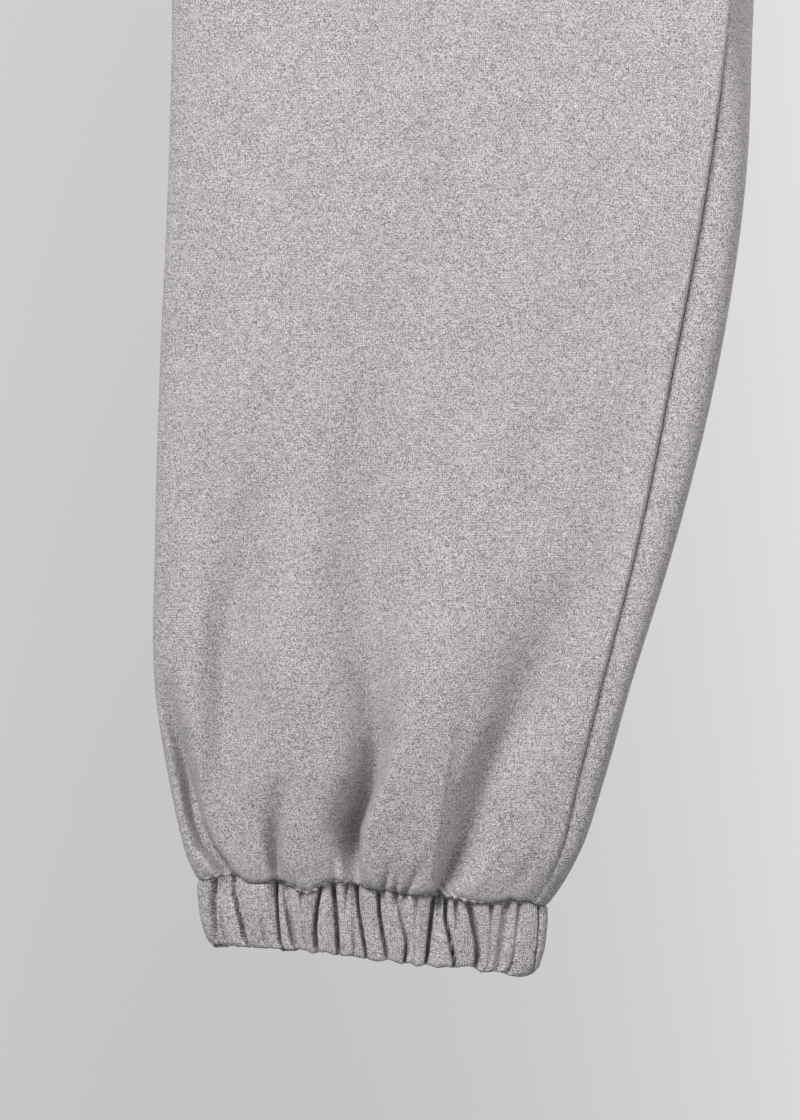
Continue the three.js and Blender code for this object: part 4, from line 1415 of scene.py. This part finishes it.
@dataclass(frozen=True)
class HeatherKnit:
    """Fleece-backed cotton and polyester jersey, circular knitted from heather yarn.

    Pale and dark fibres are spun into one yarn, so the eye sees a fine grey grain with soft streaks along the
    rows of stitches. The brushed yarn scatters the light: it has no gloss, only a faint sheen at the edges.

    Attributes:
        name: the material's name.
        pale: colour of the pale fibres.
        dark: colour of the dark fibres.
        wale: width of a column of stitches, in mm.
        course: height of a row of stitches, in mm.
        relief: height of the stitches, in mm.
        grain: contrast of the fibres' cells.
        tone: share of pale fibres.
        weights: contrast of the streaks, the fibres and the clouds, and of the painted shade between the wales
            and between the courses.
    """

    name: str
    pale: str = "#dad4d3"
    dark: str = "#75747c"
    wale: float = 0.92
    course: float = 1.0
    relief: float = 0.16
    grain: float = 1.6
    tone: float = 0.53
    weights: tuple[float, ...] = (0.78, 0.64, 0.28, 0.08, 0.1)

    def make(self) -> bpy.types.Material:
        """Make the material, its pattern drawn on the flat cloth in mm."""
        finish, nodes = new_finish(self.name)
        place = nodes.add("ShaderNodeAttribute", {"attribute_name": PLACE_ATTRIBUTE}).outputs["Vector"]
        # Metres to mm; the piece's seed goes 40 mm deeper into the noise
        mm = nodes.vector("MULTIPLY", place, (1000, 1000, 40))
        # Rows of stitches wander by a quarter of a millimetre over about 3 mm
        wander = nodes.add("ShaderNodeTexNoise", Vector=mm, Scale=0.35, Detail=1.0).outputs["Color"]
        bend = nodes.vector("MULTIPLY", nodes.vector("SUBTRACT", wander, (0.5, 0.5, 0.5)), (0.5, 0.4, 0))
        stitch = nodes.vector("DIVIDE", nodes.vector("ADD", mm, bend), (self.wale, self.course, 1))
        parts = nodes.add("ShaderNodeSeparateXYZ", Vector=stitch)
        wales = nodes.math("COSINE", nodes.math("MULTIPLY", parts.outputs["X"], TURN))
        courses = nodes.math("COSINE", nodes.math("MULTIPLY", parts.outputs["Y"], TURN))
        # A fibre is 0.02 mm thick, too fine to show: it is drawn as cells of a third of a stitch
        thirds = nodes.vector("FLOOR", nodes.vector("MULTIPLY", stitch, (3, 3, 1)))
        each = nodes.add("ShaderNodeTexWhiteNoise", Vector=thirds).outputs["Value"]
        each = nodes.math("SUBTRACT", each, 0.5)
        # Uneven yarn: streaks about 5 mm long and 0.8 mm high
        streaks = nodes.noise(nodes.vector("MULTIPLY", mm, (0.2, 1.25, 1)), 1.0, 1.5, 0.5)
        # Tufts of fibres, also drawn coarser than the real ones, 0.3 mm wide
        fibres = nodes.noise(nodes.vector("MULTIPLY", mm, (3.0, 3.8, 1)), 1.0, 2.0, 0.62)
        # Clouds of about 20 mm, where the yarn's mix varies
        clouds = nodes.noise(mm, 0.05, 2.0, 0.5)
        share = nodes.math("MULTIPLY_ADD", each, self.grain, self.tone)
        # The wales and the courses lighten the stitches' middles and darken the gaps between them: painted
        # shade of the stitches' relief, which the bump also draws.
        for value, weight in zip((streaks, fibres, clouds, wales, courses), self.weights):
            share = nodes.math("MULTIPLY_ADD", value, weight, share)
        colour = nodes.add("ShaderNodeMix", {"data_type": "RGBA", "clamp_factor": True}, _0=share,
                           _6=linear(self.dark), _7=linear(self.pale)).outputs[2]
        height = nodes.math("MULTIPLY_ADD", wales, 0.32, nodes.math("MULTIPLY", courses, 0.16))
        height = nodes.math("MULTIPLY_ADD", fibres, 0.9, height)
        bump = nodes.add("ShaderNodeBump", Strength=1.0, Distance=self.relief * MM, Height=height)
        surface = nodes.add("ShaderNodeBsdfPrincipled", Base_Color=colour, Roughness=0.92,
                            Sheen_Weight=0.12, Sheen_Roughness=0.6, Normal=bump.outputs[0])
        nodes.add("ShaderNodeOutputMaterial", Surface=surface.outputs[0])
        return finish


LEG_KNIT = HeatherKnit("heather_fleece_jersey")
# The cuffs' and the waistband's knit is the same cloth, gathered tighter, so its stitches stand higher
BAND_KNIT = HeatherKnit("heather_cuff_knit", relief=0.24)


@dataclass(frozen=True)
class SoftLight:
    """A square soft light that faces the shown leg.

    Attributes:
        name: its name.
        place: its place, in m.
        size: its side, in m.
        energy: its power, in W.
        aim: the point that it faces, in m.
    """

    name: str
    place: tuple[float, float, float]
    size: float
    energy: float
    aim: tuple[float, float, float] = (-0.17, 0, -0.75)

    def add(self) -> None:
        """Add the light to the scene."""
        data = bpy.data.lights.new(self.name, "AREA")
        data.size = self.size
        data.energy = self.energy
        light = bpy.data.objects.new(self.name, data)
        light.location = self.place
        direction = Vector(self.aim) - Vector(self.place)
        light.rotation_euler = direction.to_track_quat("-Z", "Y").to_euler()
        bpy.context.collection.objects.link(light)


@dataclass(frozen=True)
class Studio:
    """A pale seamless studio with one large soft light, two weak ones that lift the shadows and one behind.

    Attributes:
        camera_place: the camera's place, in m.
        frame_height: height of the frame at the garment, in m.
        distance: from the camera to the garment's middle, in m.
        sensor: height of the camera's sensor, in mm.
        floor_height: the floor's height, in m.
        floor_radius: its radius, in m.
        backdrop_tint: the backdrop's colour.
        backdrop_level: its brightness in the middle, before backdrop_gamma.
        backdrop_gamma: power that turns that brightness into light.
        backdrop_right: how much brighter it is at the frame's right edge.
        backdrop_sides: how much brighter it is at both sides.
        backdrop_up: how much brighter it is at the top.
        ambient_colour: colour of the light from all round.
        ambient_below: strength of that light from below.
        ambient_above: its strength from above.
        lights: the soft lights.
    """

    camera_place: tuple[float, float, float] = (-0.1736, -1.6, -0.8512)
    frame_height: float = 0.448
    distance: float = 1.6
    sensor: float = 24.0
    floor_height: float = -4.0
    floor_radius: float = 3.0
    backdrop_tint: str = "#fffdff"
    backdrop_level: float = 0.797
    backdrop_gamma: float = 2.3
    backdrop_right: float = 0.036
    backdrop_sides: float = 0.043
    backdrop_up: float = 0.017
    ambient_colour: str = "#ffffff"
    ambient_below: float = 0.27
    ambient_above: float = 0.3
    lights: tuple[SoftLight, ...] = (
        SoftLight("key_light", (-1.26, -1.86, 0.84), 1.1, 69.0),
        SoftLight("fill_light", (1.6, -1.9, -0.4), 1.5, 1.6),
        SoftLight("side_light", (0.45, -0.5, -0.42), 0.3, 2.0),
        SoftLight("back_light", (0.6, 2.4, 0.5), 1.4, 60.0),
    )

    def add_camera(self) -> None:
        """Frame the lower right leg as the photograph does."""
        data = bpy.data.cameras.new("camera")
        data.sensor_fit = "VERTICAL"
        data.sensor_height = self.sensor
        data.lens = self.sensor * self.distance / self.frame_height
        camera = bpy.data.objects.new("camera", data)
        camera.location = self.camera_place
        camera.rotation_euler = (math.pi / 2, 0, 0)
        bpy.context.collection.objects.link(camera)
        bpy.context.scene.camera = camera

    def add_world(self) -> None:
        """Add the backdrop that the camera sees and the even light that falls on the garment."""
        world = bpy.data.worlds.new("studio")
        world.use_nodes = True
        bpy.context.scene.world = world
        nodes = Nodes(world.node_tree)
        direction = nodes.add("ShaderNodeTexCoord").outputs["Generated"]
        parts = nodes.add("ShaderNodeSeparateXYZ", Vector=direction)
        across = nodes.ramp(parts.outputs["X"], -0.1, 0.1, -1.0, 1.0)
        up = nodes.ramp(parts.outputs["Z"], -0.14, 0.14, -1.0, 1.0)
        level = nodes.math("MULTIPLY_ADD", across, self.backdrop_right, self.backdrop_level)
        level = nodes.math("MULTIPLY_ADD", nodes.math("MULTIPLY", across, across), self.backdrop_sides, level)
        level = nodes.math("MULTIPLY_ADD", up, self.backdrop_up, level)
        backdrop = nodes.add("ShaderNodeBackground", Color=linear(self.backdrop_tint),
                             Strength=nodes.math("POWER", level, self.backdrop_gamma))
        height = nodes.ramp(parts.outputs["Z"], -1.0, 1.0, self.ambient_below, self.ambient_above)
        ambient = nodes.add("ShaderNodeBackground", Color=linear(self.ambient_colour), Strength=height)
        seen = nodes.add("ShaderNodeLightPath").outputs["Is Camera Ray"]
        light = nodes.add("ShaderNodeMixShader", _0=seen, _1=ambient.outputs[0], _2=backdrop.outputs[0])
        nodes.add("ShaderNodeOutputWorld", Surface=light.outputs[0])

    def add_floor(self) -> None:
        """Add a round pale floor far under the hanging garment."""
        mesh = bpy.data.meshes.new("studio_floor")
        angles = np.linspace(0, TURN, 97)[:-1]
        rim = [(self.floor_radius * math.cos(angle), self.floor_radius * math.sin(angle), self.floor_height)
               for angle in angles]
        mesh.from_pydata(rim, [], [tuple(range(len(rim)))])
        mesh.materials.append(STUDIO_PAPER.make())
        floor = bpy.data.objects.new("studio_floor", mesh)
        bpy.context.collection.objects.link(floor)

    def build(self) -> None:
        """Set the whole studio up."""
        settings = bpy.context.scene.view_settings
        settings.view_transform = "Standard"
        settings.look = "None"
        self.add_camera()
        self.add_world()
        self.add_floor()
        for light in self.lights:
            light.add()
        LOG.info("studio: %d soft lights", len(self.lights))


@dataclass(frozen=True)
class Sweatpants:
    """The whole garment.

    Attributes:
        form: the legs' form.
        leg_finish: the panels' material.
        band_finish: the cuffs' and the waistband's material.
        thread: the stitches' material.
    """

    form: LegForm
    leg_finish: bpy.types.Material
    band_finish: bpy.types.Material
    thread: bpy.types.Material

    def add_panels(self) -> None:
        """Add the four leg panels, the shown one in finer columns."""
        for side in Side:
            for face in Face:
                hero = side is Side.RIGHT and face is Face.FRONT
                panel = LegPanel(side, face, HERO_COLUMNS if hero else PANEL_COLUMNS)
                wall = panel.grid(self.form)
                piece = wall.build(side is Side.LEFT, self.leg_finish, "leg_knit")
                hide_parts(panel.name("leg"))
                LOG.info("%s: %d rows, %d columns", wall.name, *wall.points.shape[:2])

    def add_cuffs(self) -> list[np.ndarray]:
        """Add both cuffs.

        Returns:
            Points of their seams, sunk in the ditches, in mm.
        """
        seams = []
        for side in Side:
            wall = Cuff(3.2, CUFF_HEIGHT, side=side).wall_of_cloth(self.form)
            piece = wall.build(side is Side.LEFT, self.band_finish, "band_knit")
            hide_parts(f"cuff_{side.name.lower()}")
            seams.append(np.concatenate((wall.points[1], wall.points[1, :1])))
            LOG.info("%s: %d columns", wall.name, wall.points.shape[1])
        return seams

    def add_waistband(self) -> None:
        """Add the waistband."""
        wall = Waistband(3.4, -WAIST_SEAM_Z).wall_of_cloth(self.form)
        piece = wall.build(False, self.band_finish, "band_knit")
        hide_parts("waistband")
        LOG.info("%s: %d columns", wall.name, wall.points.shape[1])

    def build(self) -> None:
        """Add every piece."""
        self.add_panels()
        seams = self.add_cuffs()
        self.add_waistband()
        StitchLine().build("cuff_stitches", seams, self.thread)
        LOG.info("cuff_stitches: %d seams", len(seams))


def main() -> None:
    """Build the garment and the studio."""
    logging.basicConfig(level=logging.INFO)
    Sweatpants(LegForm(), LEG_KNIT.make(), BAND_KNIT.make(), SEWING_THREAD.make()).build()
    Studio().build()


if __name__ == "__main__":
    main()
